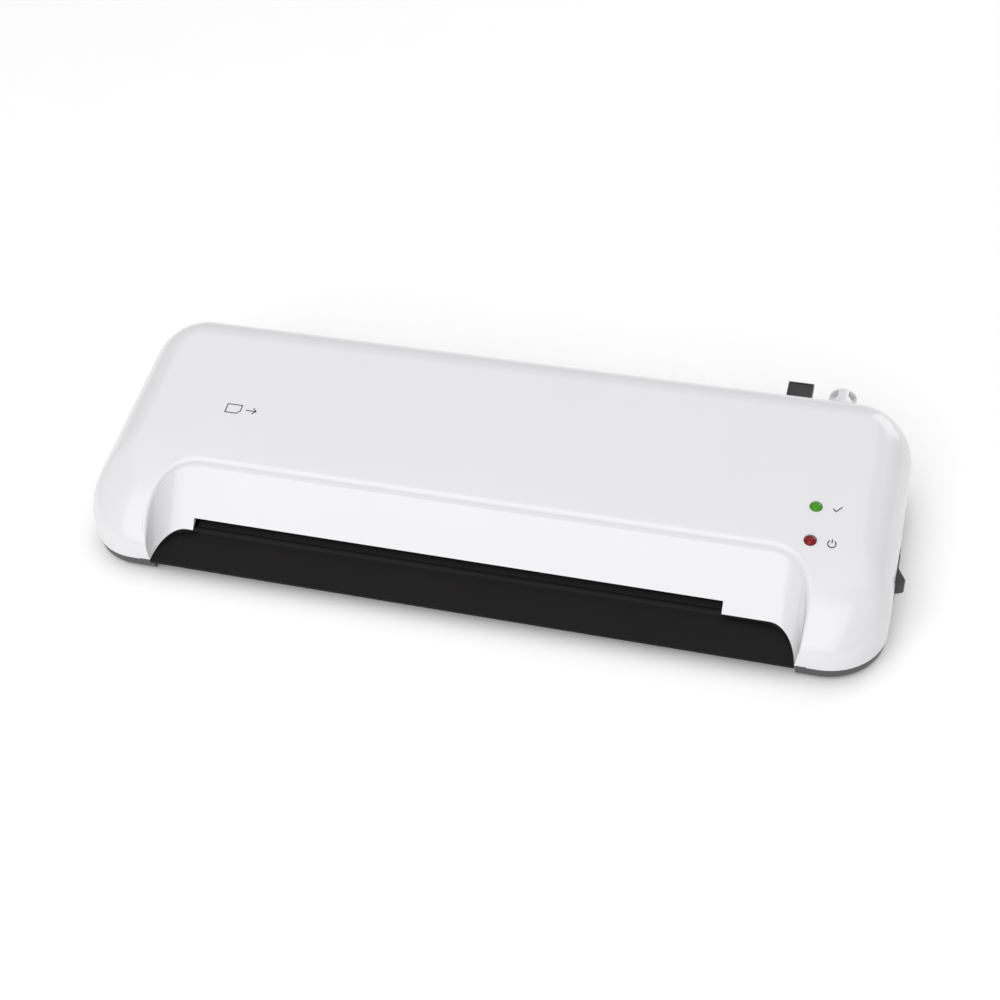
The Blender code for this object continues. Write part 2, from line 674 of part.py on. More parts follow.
def make_pressure_plate(side):
    """Carries an end of the upper roller, is pressed down by a spring and lifted by a cam."""
    sign = -1 if side == "left" else 1
    x0, x1 = plate_span(side)
    face = x1 if sign < 0 else x0
    pad = RELEASE_Z + CAM_R + CAM_THROW * math.sin(CAM_REST) + CAM_GAP
    cam_front = SHAFT_Y - CAM_R - CAM_THROW
    outline = [
        (ROLLER_Y - 0.008, UPPER_Z - 0.0052),
        (ROLLER_Y + 0.007, UPPER_Z - 0.0052),
        (SPRING_AT - 0.005, SPRING_LOW - 0.0012),
        (cam_front - 0.001, SPRING_LOW - 0.0012),
        (cam_front - 0.001, pad),
        (SHAFT_Y + 0.001, pad),
        (SHAFT_Y + 0.001, pad + 0.0014),
        (SPRING_AT + 0.006, pad + 0.0012),
        (ROLLER_Y + 0.007, UPPER_Z + 0.0055),
        (ROLLER_Y - 0.008, UPPER_Z + 0.0055),
    ]
    hole = circle(ROLLER_Y, UPPER_Z, BUSH_R + GAP)
    plate = flat_outline(f"pressure_plate_{side}", [outline, hole], x0, x1, material=STEEL)
    far = face + sign * 0.0098
    a, b = sorted((face, far))
    low = (a, SPRING_AT - 0.004, SPRING_LOW - 0.0012)
    tab = box(f"spring_tab_{side}", low, (b, SPRING_AT + 0.004, SPRING_LOW), cutter=True)
    cut(plate, tab, operation="UNION")
    make_bush(f"upper_bush_{side}", x0, x1, UPPER_Z, sign)


def make_pressure_spring(side):
    sign = -1 if side == "left" else 1
    outer = plate_span(side)[0 if sign < 0 else 1]
    x = outer + sign * (0.0012 + SPRING_R + SPRING_WIRE)
    start = SPRING_LOW + SPRING_WIRE + GAP
    end = SPRING_TOP - SPRING_WIRE - GAP
    curve = bpy.data.curves.new(f"pressure_spring_{side}", "CURVE")
    curve.dimensions = "3D"
    curve.bevel_depth = SPRING_WIRE
    curve.bevel_resolution = 1
    curve.use_fill_caps = True
    count = SPRING_TURNS * 12 + 1
    spline = curve.splines.new("POLY")
    spline.points.add(count - 1)
    for i, point in enumerate(spline.points):
        share = i / (count - 1)
        angle = 2 * math.pi * SPRING_TURNS * share
        height = start + (end - start) * share
        point.co = (SPRING_R * math.cos(angle), SPRING_R * math.sin(angle), height, 1)
    add_object(f"pressure_spring_{side}", curve, STEEL, (x, SPRING_AT, 0))


def gear_outline(teeth, phase):
    """Straight-sided teeth with backlash; one tooth points along the phase angle."""
    pitch_r = MODULE * teeth / 2
    pitch = 2 * math.pi / teeth
    sides = (
        (pitch_r - 1.2 * MODULE, 0.36),
        (pitch_r, 0.225),
        (pitch_r + 0.9 * MODULE, 0.11),
    )
    points = []
    for i in range(teeth):
        middle = phase + i * pitch
        for radius, share in sides:
            points.append((radius, middle - share * pitch))
        for radius, share in reversed(sides):
            points.append((radius, middle + share * pitch))
    return [(r * math.cos(a), r * math.sin(a)) for r, a in points]


def make_gears():
    """Equal gears on both rollers, and the motor's pinion in mesh with the lower one."""
    x0, x1 = GEAR_X, GEAR_X + GEAR_WIDTH
    bore = circle(0, 0, SHAFT_R + RUN_GAP)
    up = math.pi / 2
    pitch = 2 * math.pi / GEAR_TEETH
    flat_outline(
        "lower_roller_gear", [gear_outline(GEAR_TEETH, up), bore], x0, x1, (ROLLER_Y, LOWER_Z), NYLON
    )
    flat_outline(
        "upper_roller_gear",
        [gear_outline(GEAR_TEETH, -up + pitch / 2), bore],
        x0,
        x1,
        (ROLLER_Y, UPPER_Z),
        NYLON,
    )
    ahead = (up - PINION_ANGLE) % pitch
    space = PINION_ANGLE + math.pi - ahead * GEAR_TEETH / PINION_TEETH
    phase = space + math.pi / PINION_TEETH
    bore = circle(0, 0, OUTPUT_R + RUN_GAP)
    flat_outline("motor_pinion", [gear_outline(PINION_TEETH, phase), bore], x0, x1, PINION_YZ, NYLON)
    rod(
        "motor_output_shaft",
        OUTPUT_R,
        (x0 - 0.0005, *PINION_YZ),
        (BRACKET_X + 0.004, *PINION_YZ),
        STEEL,
        sides=16,
    )


def make_motor():
    """A round synchronous gear motor whose output shaft stands off its axis, on a steel bracket."""
    start = MOTOR_X
    half = MOTOR_LENGTH / 2
    edge = 0.001
    profile = [
        (0, half),
        (MOTOR_R - edge, half),
        (MOTOR_R, half - edge),
        (MOTOR_R, edge - half),
        (MOTOR_R - edge, -half),
        (0, -half),
    ]
    place = (start + half, *MOTOR_YZ)
    motor = turned("gear_motor", profile, place, (0, math.pi / 2, 0), STEEL, sides=32)
    way = rod(
        "output_way",
        OUTPUT_R + RUN_GAP,
        (start - 0.005, *PINION_YZ),
        (start + 0.004, *PINION_YZ),
        cutter=True,
        sides=16,
    )
    cut(motor, way)
    y, z = MOTOR_YZ
    low = PAN_FLOOR + GAP
    top = z + MOTOR_R - 0.003
    outline = [
        (y - 0.0135, low),
        (y + 0.0135, low),
        (y + 0.0135, top - 0.006),
        (y + 0.010, top),
        (y - 0.010, top),
        (y - 0.0135, top - 0.006),
    ]
    hole = circle(*PINION_YZ, OUTPUT_R + 0.002)
    bracket = flat_outline(
        "motor_bracket", [outline, hole], BRACKET_X, BRACKET_X + FRAME_THICK, material=STEEL
    )
    foot = box(
        "bracket_foot",
        (BRACKET_X - 0.005, y - 0.012, low),
        (BRACKET_X + 0.001, y + 0.012, low + 0.0012),
        cutter=True,
    )
    cut(bracket, foot, operation="UNION")


def make_release_shaft():
    """A moulded shaft whose two cams lift the pressure plates."""
    start = plate_span("left")[0] - 0.002
    end = LEVER_X[1] - 0.0005
    shaft = rod("release_shaft", RELEASE_R, (start, 0, 0), (end, 0, 0), BLACK, sides=20)
    shaft.location = ((start + end) / 2, SHAFT_Y, RELEASE_Z)
    centre = (SHAFT_Y + CAM_THROW * math.cos(CAM_REST), RELEASE_Z + CAM_THROW * math.sin(CAM_REST))
    for side in ("left", "right"):
        x0, x1 = plate_span(side)
        cam = [circle(0, 0, CAM_R, 28)]
        blank = flat_outline(f"cam_{side}", cam, x0 - 0.0004, x1 + 0.0004, centre, cutter=True)
        cut(shaft, blank, operation="UNION")


def make_release_lever():
    """A black tab behind the back wall, on the end of the release shaft."""
    reach = RELEASE_Y + LEVER_REACH
    top = LEVER_TOP
    outline = arc(0, 0, LEVER_TOP, 90, 290, 12)
    outline += [
        (RELEASE_Y * 0.6, -0.0012),
        (reach - 0.0015, top - 0.0036),
        (reach, top - 0.0026),
        (reach, top - 0.0008),
        (reach - 0.0008, top),
    ]
    bore = circle(0, 0, RELEASE_R + 0.00025, 20)
    lever = flat_outline(
        "release_lever", [outline, bore], LEVER_X[0], LEVER_X[1], (SHAFT_Y, RELEASE_Z), BLACK
    )
    return lever


def make_heaters():
    x0, x1 = FRAME_L + FRAME_THICK + GAP, FRAME_R - GAP
    lower_top = NIP_Z - SHOE_GAP / 2
    upper_low = NIP_Z + SHOE_GAP / 2
    for level, low in (("lower", lower_top - SHOE_THICK), ("upper", upper_low)):
        box(
            f"{level}_heater_shoe",
            (x0, SHOE_Y[0], low),
            (x1, SHOE_Y[1], low + SHOE_THICK),
            ALUMINIUM,
            bevel=0.0006,
        )
    strip_x = (SLOT_LEFT + 0.012, SLOT_RIGHT - 0.012)
    strip_y = (SHOE_Y[0] + 0.003, SHOE_Y[1] - 0.004)
    upper = upper_low + SHOE_THICK + GAP
    lower = lower_top - SHOE_THICK - GAP - STRIP_THICK
    for level, low in (("lower", lower), ("upper", upper)):
        box(
            f"{level}_heater_strip",
            (strip_x[0], strip_y[0], low),
            (strip_x[1], strip_y[1], low + STRIP_THICK),
            FOIL,
        )
    seat = upper + STRIP_THICK + GAP
    y = (strip_y[0] + strip_y[1]) / 2
    height = 0.0050
    profile = [
        (0, height),
        (0.0040, height),
        (0.0040, height * 0.45),
        (0.0058, height * 0.45),
        (0.0058, 0),
        (0, 0),
    ]
    turned("thermostat", profile, (0.02, y, seat), (0, 0, 0), BLACK)
    fuse_z = seat + 0.002
    rod("thermal_fuse", 0.0019, (-0.040, y, fuse_z), (-0.027, y, fuse_z), STEEL, sides=16)


def make_rocker_switch():
    """A rocker with a shallow V face, resting with its back half pressed in."""
    tip = math.degrees(ROCKER_TIP)
    outline = arc(0, 0, ROCKER_R, -20, tip, 5)
    outline += [(0.0012, ROCKER_NOTCH), (-0.0012, ROCKER_NOTCH)]
    outline += arc(0, 0, ROCKER_R, 180 - tip, 200, 5)
    height = ROCKER_HALF_HEIGHT
    rings = []
    for z in (-height, height):
        # the outline's first axis runs along Y and its second out of the wall, along X
        rings.append([(out, along, z) for along, out in reversed(outline)])
    rocker = add_mesh("power_rocker", loft(rings), BLACK, ROCKER_PIVOT, (0, 0, ROCKER_TILT))
    half_y = ROCKER_R + 0.0007
    half_z = height + GAP
    low = (RIGHT - SWITCH_DEPTH, ROCKER_Y - half_y, ROCKER_Z - half_z - SWITCH_WALL)
    high = (RIGHT + 0.0002, ROCKER_Y + half_y, ROCKER_Z + half_z + SWITCH_WALL)
    housing = box("switch_housing", low, high, BLACK)
    bezel = box(
        "switch_bezel",
        (RIGHT + GAP / 2, ROCKER_Y - half_y - 0.0011, ROCKER_Z - half_z - 0.0015),
        (RIGHT + GAP / 2 + BEZEL, ROCKER_Y + half_y + 0.0011, ROCKER_Z + half_z + 0.0015),
        cutter=True,
    )
    pocket = box(
        "rocker_pocket",
        (ROCKER_PIVOT[0] - 0.0062, ROCKER_Y - half_y + 0.0004, ROCKER_Z - half_z),
        (RIGHT + 0.01, ROCKER_Y + half_y - 0.0004, ROCKER_Z + half_z),
        cutter=True,
    )
    cut(housing, bezel, operation="UNION")
    cut(housing, pocket)
    return rocker


def make_lamps():
    """Two lens pipes over two lamps on the control board."""
    names = (("ready", GREEN), ("power", RED))
    for (name, colour), (x, y) in zip(names, LAMPS):
        surface = lamp_surface(y)
        stem_end = BOARD_Z + BOARD_THICK + 0.0024
        crown = 0.0014
        profile = [
            (0, surface + crown),
            (LAMP_R * 0.55, surface + crown * 0.88),
            (LAMP_R * 0.9, surface + crown * 0.45),
            (LAMP_R, surface - 0.0002),
            (LAMP_R, surface - WALL - 0.0012),
            (LAMP_R * 0.6, surface - WALL - 0.0012),
            (LAMP_R * 0.6, stem_end),
            (0, stem_end),
        ]
        turned(f"{name}_lens", profile, (x, y, 0), (0, 0, 0), colour, sides=20)
        low = (x - 0.0016, y - 0.0012, BOARD_Z + BOARD_THICK + GAP)
        box(f"{name}_led", low, (x + 0.0016, y + 0.0012, stem_end - GAP), NYLON)
    low = (LAMPS[1][0] - 0.0095, LAMPS[1][1] - 0.0055, BOARD_Z)
    high = (LAMPS[0][0] + 0.0125, LAMPS[0][1] + 0.008, BOARD_Z + BOARD_THICK)
    box("control_board", low, high, BOARD)


def lamp_surface(y):
    """Height of the top at y, the start of the front roll included."""
    roll_start = FRONT + FRONT_ROLL
    if y >= roll_start:
        return top_height(y)
    share = (roll_start - y) / FRONT_ROLL
    lip = COVER_BASE + FRONT_LIP
    return lip + (top_height(y) - lip) * math.sqrt(1 - share**2)


def make_cord_gland():
    x = RIGHT - GLAND_X
    inner = BACK - WALL - 0.0068
    end = BACK + GLAND_LENGTH
    profile = [
        (CORD_R, end),
        (GLAND_R - 0.0016, end),
        (GLAND_R - 0.0008, end - 0.001),
        (GLAND_R, BACK + 0.0008),
        (GLAND_R, inner + 0.0025),
        (GLAND_R + 0.001, inner + 0.0025),
        (GLAND_R + 0.001, inner),
        (CORD_R, inner),
    ]
    turned("cord_gland", profile, (x, 0, GLAND_Z), (-math.pi / 2, 0, 0), WHITE, closed=True)


def make_feet_and_screws():
    for i, (x, y) in enumerate(FOOT_SPOTS):
        top = PAN_BASE + FOOT_SEAT - GAP
        profile = [(0, top), (FOOT_R, top), (FOOT_R, 0.0008), (FOOT_R - 0.0008, 0), (0, 0)]
        turned(f"foot_{i + 1}", profile, (x, y, 0), (0, 0, 0), RUBBER)
    for i, (x, y) in enumerate(SCREW_SPOTS):
        head = PAN_FLOOR - GAP
        profile = [
            (0, COVER_BASE + 0.009),
            (0.0010, COVER_BASE + 0.009),
            (0.0015, COVER_BASE + 0.0075),
            (0.0015, head),
            (0.0030, head),
            (0.0030, head - 0.0014),
            (0, head - 0.0014),
        ]
        turned(f"case_screw_{i + 1}", profile, (x, y, 0), (0, 0, 0), STEEL, sides=16)
    for i, (x, y) in enumerate(FRAME_SCREWS):
        seat = FRAME_FOOT_Z + 0.0012 + GAP
        profile = [
            (0, seat + 0.0012),
            (0.0020, seat + 0.0012),
            (0.0026, seat + 0.0004),
            (0.0026, seat),
            (0.0013, seat),
            (0.0013, PAN_BASE + 0.0004),
            (0, PAN_BASE + 0.0004),
        ]
        turned(f"frame_screw_{i + 1}", profile, (x, y, 0), (0, 0, 0), STEEL, sides=12)


make_top_cover()
make_base_pan()
make_feed_tray()
make_exit_guide()
for name in ("left", "right"):
    make_side_frame(name)
    make_pressure_plate(name)
    make_pressure_spring(name)
make_rollers()
make_bush("lower_bush_left", FRAME_L, FRAME_L + FRAME_THICK, LOWER_Z, -1)
make_bush("lower_bush_right", FRAME_R, FRAME_R + FRAME_THICK, LOWER_Z, 1)
make_gears()
make_motor()
make_release_shaft()
make_release_lever()
make_heaters()
make_rocker_switch()
make_lamps()
make_cord_gland()
make_feet_and_screws()
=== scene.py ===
import math

import bpy
from mathutils import Matrix, Vector


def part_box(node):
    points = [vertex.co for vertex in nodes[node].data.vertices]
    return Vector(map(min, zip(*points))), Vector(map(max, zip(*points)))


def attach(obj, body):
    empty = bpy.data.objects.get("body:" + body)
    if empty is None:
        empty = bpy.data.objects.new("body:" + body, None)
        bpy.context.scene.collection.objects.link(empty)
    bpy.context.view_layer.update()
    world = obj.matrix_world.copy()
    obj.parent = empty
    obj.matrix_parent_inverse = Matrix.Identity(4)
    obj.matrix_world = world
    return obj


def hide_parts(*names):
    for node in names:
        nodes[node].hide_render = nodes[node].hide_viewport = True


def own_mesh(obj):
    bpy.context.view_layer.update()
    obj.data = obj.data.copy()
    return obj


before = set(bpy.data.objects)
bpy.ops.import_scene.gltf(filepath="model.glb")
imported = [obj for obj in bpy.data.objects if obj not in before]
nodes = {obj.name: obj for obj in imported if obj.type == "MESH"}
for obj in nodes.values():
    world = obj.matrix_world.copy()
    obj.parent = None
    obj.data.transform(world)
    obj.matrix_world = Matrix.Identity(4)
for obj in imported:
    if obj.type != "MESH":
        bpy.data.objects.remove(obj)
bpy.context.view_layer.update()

shift = Vector((-0.001839, -0.00485, 0))  # from the middle of the housing to the frame's origin

camera = {"turn": 18.8, "rise": 44.1, "roll": -5.1, "reach": 0.7201, "lens": 60.26,
          "sensor": 36, "shiftX": 0.0068, "shiftY": -0.0213, "aim": (0, 0, 0.025), "clip": (0.01, 50)}


def makeCamera(c):
    a, e, r = (math.radians(c[k]) for k in ("turn", "rise", "roll"))
    ahead = Vector((-math.sin(a) * math.cos(e), math.cos(a) * math.cos(e), -math.sin(e)))
    side = Vector((math.cos(a), math.sin(a), 0))
    up = side.cross(ahead)
    right = math.cos(r) * side + math.sin(r) * up
    top = -math.sin(r) * side + math.cos(r) * up
    data = bpy.data.cameras.new("studioCamera")
    data.lens, data.sensor_width = c["lens"], c["sensor"]
    data.shift_x, data.shift_y = c["shiftX"], c["shiftY"]
    data.clip_start, data.clip_end = c["clip"]
    thing = bpy.data.objects.new("studioCamera", data)
    bpy.context.scene.collection.objects.link(thing)
    turn = Matrix((right, top, -ahead)).transposed().to_4x4()
    turn.translation = Vector(c["aim"]) - ahead * c["reach"] + shift
    thing.matrix_world = turn
    bpy.context.scene.camera = thing


makeCamera(camera)
print("camera placed")


def hexLinear(code):
    parts = [int(code[i:i + 2], 16) / 255 for i in (0, 2, 4)]
    linear = [p / 12.92 if p < 0.04045 else ((p + 0.055) / 1.055) ** 2.4 for p in parts]
    return (*linear, 1)


def addNode(tree, kind, settings=None, values=None, links=None):
    node = tree.nodes.new(kind)
    for key, value in (settings or {}).items():
        setattr(node, key, value)
    for key, value in (values or {}).items():
        node.inputs[key].default_value = value
    for key, source in (links or {}).items():
        tree.links.new(source, node.inputs[key])
    return node


def surfaceFinish(name, base, tone, rough, grainMm=0.6, bump=0.1, metallic=0, ior=1.46, coat=0,
                  roughSpread=0.05, blotchMm=30, stretch=(1, 1, 1), depthMm=0.01, **sockets):
    # grain at its real size in millimetres, broad slow tone change, and roughness that follows the grain
    material = bpy.data.materials.new(name)
    material.use_nodes = True
    tree = material.node_tree
    shader = tree.nodes["Principled BSDF"]
    where = addNode(tree, "ShaderNodeTexCoord").outputs["Object"]
    mapped = addNode(tree, "ShaderNodeMapping", values={"Scale": stretch}, links={"Vector": where})
    fine = addNode(tree, "ShaderNodeTexNoise", values={"Scale": 1000 / grainMm, "Detail": 3.0},
                   links={"Vector": mapped.outputs["Vector"]})
    broad = addNode(tree, "ShaderNodeTexNoise", values={"Scale": 1000 / blotchMm, "Detail": 2.0},
                    links={"Vector": where})
    colour = addNode(tree, "ShaderNodeMix", {"data_type": "RGBA"},
                     links={"Factor": broad.outputs["Fac"]})
    colour.inputs[6].default_value = hexLinear(base)
    colour.inputs[7].default_value = hexLinear(tone)
    tree.links.new(colour.outputs[2], shader.inputs["Base Color"])
    spread = addNode(tree, "ShaderNodeMapRange", values={
        "To Min": max(rough - roughSpread, 0.02), "To Max": min(rough + roughSpread, 1)},
        links={"Value": fine.outputs["Fac"]})
    tree.links.new(spread.outputs["Result"], shader.inputs["Roughness"])
    relief = addNode(tree, "ShaderNodeBump", values={"Strength": bump, "Distance": depthMm / 1000},
                     links={"Height": fine.outputs["Fac"]})
    tree.links.new(relief.outputs["Normal"], shader.inputs["Normal"])
    shader.inputs["Metallic"].default_value = metallic
    if not metallic:
        shader.inputs["IOR"].default_value = ior
    shader.inputs["Coat Weight"].default_value = coat
    shader.inputs["Coat Roughness"].default_value = 0.08
    for key, value in sockets.items():
        shader.inputs[key.replace("_", " ")].default_value = value
    return material


# injection-moulded ABS from a polished tool: even gloss with the faintest ripple
glossWhiteAbs = surfaceFinish("glossWhiteAbs", "DADADC", "D7D7D9", 0.24, 4, 0.03, ior=1.54, coat=0.35,
                             roughSpread=0.02)
# moulded ABS from a spark-eroded tool: fine matt grain, about 0.5 mm
satinGreyAbs = surfaceFinish("satinGreyAbs", "4C4A4C", "444244", 0.46, 0.5, 0.25, ior=1.54)
# moulded ABS, satin black, very fine grain drawn at 0.7 mm so that it shows
satinBlackAbs = surfaceFinish("satinBlackAbs", "141112", "100E0F", 0.5, 0.7, 0.18, ior=1.54,
                             Specular_IOR_Level=0.12)
# moulded ABS of the switch, charcoal and a little glossier
charcoalAbs = surfaceFinish("charcoalAbs", "242220", "1E1C1B", 0.36, 0.6, 0.12, ior=1.54)
# moulded ABS with a coarse leathery grain for grip, about 0.8 mm
grainedBlackAbs = surfaceFinish("grainedBlackAbs", "26242A", "151317", 0.5, 0.8, 0.7, ior=1.54,
                                depthMm=0.08)
# rolled steel with bright zinc plating: cloudy, a little streaked
zincPlatedSteel = surfaceFinish("zincPlatedSteel", "B9BCC0", "A3A6AA", 0.34, 1.2, 0.1, 1, roughSpread=0.1,
                                stretch=(1, 6, 1))
# drawn spring wire: darker, with a fine even grain
drawnSpringSteel = surfaceFinish("drawnSpringSteel", "8D8F93", "75777B", 0.3, 0.3, 0.1, 1,
                                  roughSpread=0.08)
# deep-drawn motor can, plated: a fine streaked sheen
drawnMotorCan = surfaceFinish("drawnMotorCan", "A9ACAF", "9A9DA1", 0.38, 0.9, 0.12, 1, roughSpread=0.08,
                              stretch=(5, 1, 1))
# ground silicone rubber: orange-red brown and nearly matt
groundSilicone = surfaceFinish("groundSilicone", "B5522E", "A34926", 0.72, 0.35, 0.25, ior=1.41)
# moulded nylon, waxy
mouldedNylon = surfaceFinish("mouldedNylon", "E6E1D2", "DBD5C4", 0.42, 0.8, 0.08, ior=1.53)
# extruded aluminium, fine lines along the draw
extrudedAluminium = surfaceFinish("extrudedAluminium", "C9CBCE", "BDBFC2", 0.33, 0.4, 0.14, 1,
                                   stretch=(0.05, 1, 1))
# etched foil between polyimide films: amber
polyimideFoil = surfaceFinish("polyimideFoil", "B4702A", "A0601F", 0.28, 1.5, 0.08, ior=1.7)
# phenolic moulding, brown black
mouldedPhenolic = surfaceFinish("mouldedPhenolic", "3A2A22", "30221B", 0.42, 0.6, 0.2, ior=1.6)
# glass-epoxy laminate under green solder mask: faint weave
solderMaskLaminate = surfaceFinish("solderMaskLaminate", "1F6B3C", "1A5E34", 0.3, 0.5, 0.1, ior=1.5)
# clear epoxy of the two light-emitting diodes
clearEpoxy = surfaceFinish("clearEpoxy", "D9DCD6", "CFD3CC", 0.12, 2, 0.02, ior=1.55)
# moulded rubber, dull with a fine bloom
mouldedRubber = surfaceFinish("mouldedRubber", "1D1D1E", "262627", 0.82, 0.5, 0.3, ior=1.5)
# tinted acrylic lens over the lamp, unlit: smooth, with a little depth
greenAcrylic, redAcrylic = (
    surfaceFinish(name, base, tone, 0.1, 3, 0.02, ior=1.49, coat=0.05, Subsurface_Weight=0.1,
                  Specular_IOR_Level=0.3)
    for name, base, tone in (("greenAcrylic", "479C08", "2F7A06"), ("redAcrylic", "86030E", "6A020A")))
# printed ink, near black
padPrintedInk = surfaceFinish("padPrintedInk", "35343A", "2C2B31", 0.55, 0.4, 0.05)

slotFinish = {
    "steel": zincPlatedSteel, "spring_steel": drawnSpringSteel, "motor_can": drawnMotorCan,
    "silicone": groundSilicone, "nylon": mouldedNylon, "aluminium": extrudedAluminium,
    "heater_foil": polyimideFoil, "phenolic": mouldedPhenolic, "board_laminate": solderMaskLaminate,
    "led_body": clearEpoxy, "foot_rubber": mouldedRubber, "white_abs": glossWhiteAbs,
    "grey_abs": satinGreyAbs, "black_abs": satinBlackAbs, "green_lens": greenAcrylic, "red_lens": redAcrylic}
print("materials made")


def deselect():
    if bpy.context.object and bpy.context.object.mode != "OBJECT":
        bpy.ops.object.mode_set(mode="OBJECT")
    bpy.ops.object.select_all(action="DESELECT")


def activate(thing):
    deselect()
    thing.select_set(True)
    bpy.context.view_layer.objects.active = thing


def meshThing(name, points, edges, faces, material=None):
    mesh = bpy.data.meshes.new(name)
    mesh.from_pydata(points, edges, faces)
    mesh.validate()
    if material:
        mesh.materials.append(material)
    thing = bpy.data.objects.new(name, mesh)
    bpy.context.scene.collection.objects.link(thing)
    return thing


def facedOutwards(thing, merge=0.0):
    # doubles closer than merge are joined first
    activate(thing)
    bpy.ops.object.mode_set(mode="EDIT")
    bpy.ops.mesh.select_all(action="SELECT")
    if merge:
        bpy.ops.mesh.remove_doubles(threshold=merge)
    bpy.ops.mesh.normals_make_consistent(inside=False)
    bpy.ops.object.mode_set(mode="OBJECT")
    return thing


def loft(name, rings, material=None):
    # closed rings of points joined one to the next, with a cap at each end
    count = len(rings[0])
    points = [tuple(Vector(p) + shift) for ring in rings for p in ring]
    faces = []
    for i in range(len(rings) - 1):
        for j in range(count):
            k = (j + 1) % count
            faces.append((i * count + j, i * count + k, (i + 1) * count + k, (i + 1) * count + j))
    faces.append(tuple(reversed(range(count))))
    faces.append(tuple(range((len(rings) - 1) * count, len(rings) * count)))
    return facedOutwards(meshThing(name, points, [], faces, material), 1e-7)


def applyModifier(thing, kind, **settings):
    activate(thing)
    modifier = thing.modifiers.new(kind.lower(), kind)
    for key, value in settings.items():
        setattr(modifier, key, value)
    bpy.ops.object.modifier_apply(modifier=modifier.name)


def boolean(thing, other, operation="DIFFERENCE"):
    applyModifier(thing, "BOOLEAN", operation=operation, solver="EXACT", object=other)
    bpy.data.objects.remove(other, do_unlink=True)


def bevelled(thing, width):
    applyModifier(thing, "BEVEL", width=width, segments=3, limit_method="ANGLE")


def block(name, low, high, material=None, bevel=0.0):
    low, high = Vector(low) + shift, Vector(high) + shift
    deselect()
    bpy.ops.mesh.primitive_cube_add(size=1, location=(low + high) / 2)
    thing = bpy.context.object
    thing.name = name
    thing.scale = high - low
    bpy.ops.object.transform_apply(location=True, rotation=True, scale=True)
    if bevel:
        bevelled(thing, bevel)
    if material:
        thing.data.materials.append(material)
    return thing


def rodAlong(name, radius, low, high, sides=48):
    a, b = Vector(low) + shift, Vector(high) + shift
    along = (b - a).to_track_quat("Z", "Y").to_euler()
    deselect()
    bpy.ops.mesh.primitive_cylinder_add(vertices=sides, radius=radius, depth=(b - a).length,
                                        location=(a + b) / 2, rotation=along)
    thing = bpy.context.object
    thing.name = name
    bpy.ops.object.transform_apply(location=True, rotation=True, scale=True)
    return thing


def smoothed(thing, degrees=35):
    activate(thing)
    bpy.ops.object.shade_smooth_by_angle(angle=math.radians(degrees))
    return thing


def arcPoints(cx, cy, radius, start, end, steps):
    angles = [math.radians(start + (end - start) * i / steps) for i in range(steps + 1)]
    return [(cx + radius * math.cos(a), cy + radius * math.sin(a)) for a in angles]


def keepPiece(piece, slotName, body, *replaced):
    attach(piece, body)
    if replaced:
        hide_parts(*replaced)
    return piece


housing = {"width": 0.345, "depth": 0.122, "backHeight": 0.0519, "slope": math.radians(8.7), "corner": 0.025,
           "shoulder": 0.0199, "frontRoll": 0.044, "frontLip": 0.0006, "base": 0.0072, "wall": 0.0022,
           "leastCorner": 0.0002, "cornerSteps": 14, "rollSteps": 20, "straightSteps": 24}
under, over = -0.01, 0.06  # ends of the cutters that go right through
left, right = -housing["width"] / 2, housing["width"] / 2
front, back = -housing["depth"] / 2, housing["depth"] / 2


def topHeight(y):
    return housing["backHeight"] - math.tan(housing["slope"]) * (back - y)


def housingOutline(x0, x1, y0, y1, radius):
    # points round a rounded rectangle, each with the y part of its outward normal
    h, n = housing, housing["cornerSteps"]
    found = []
    centres = [(x1 - radius, y0 + radius, -90), (x1 - radius, y1 - radius, 0),
               (x0 + radius, y1 - radius, 90), (x0 + radius, y0 + radius, 180)]
    for i, (cx, cy, start) in enumerate(centres):
        for j in range(n + 1):
            a = math.radians(start + 90 * j / n)
            found.append((cx + radius * math.cos(a), cy + radius * math.sin(a), math.sin(a)))
        a = math.radians(start + 90)
        here = Vector((cx + radius * math.cos(a), cy + radius * math.sin(a)))
        nx, ny, _ = centres[(i + 1) % 4]
        there = Vector((nx + radius * math.cos(a), ny + radius * math.sin(a)))
        for j in range(1, h["straightSteps"]):
            p = here.lerp(there, j / h["straightSteps"])
            found.append((p.x, p.y, math.sin(a)))
    return found


def housingRings(inset, bottom):
    h = housing
    shoulder, roll = h["shoulder"] - inset, h["frontRoll"] - inset
    drop = inset / math.cos(h["slope"])
    lip = h["base"] + h["frontLip"]
    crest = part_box("top_cover")[1].z  # the finer shoulder stays under the coarse one
    rings = []
    for i in range(h["rollSteps"] + 1):
        a = math.radians(90 * i / h["rollSteps"])
        side, ahead = inset + shoulder * (1 - math.cos(a)), inset + roll * (1 - math.cos(a))
        ring = []
        for x, y, ny in housingOutline(left + side, right - side, front + ahead, back - side,
                                       max(h["corner"] - side, h["leastCorner"])):
            top = topHeight(y) - drop
            sideZ = top - shoulder * (1 - math.sin(a))
            frontZ = lip + (top - lip) * math.sin(a)
            weight = min(ny, 0) ** 2
            ring.append((x, y, min(weight * frontZ + (1 - weight) * sideZ, crest)))
        rings.append(ring)
    return [[(x, y, bottom) for x, y, z in rings[0]]] + rings


def surfaceHeight(x, y):
    # height of the outer skin over a point well inside the front roll
    h = housing
    ahead = y - front
    if ahead >= h["frontRoll"]:
        return topHeight(y)
    c = 1 - max(ahead, 0) / h["frontRoll"]
    lip = h["base"] + h["frontLip"]
    return lip + (topHeight(y) - lip) * math.sqrt(max(1 - c * c, 0))


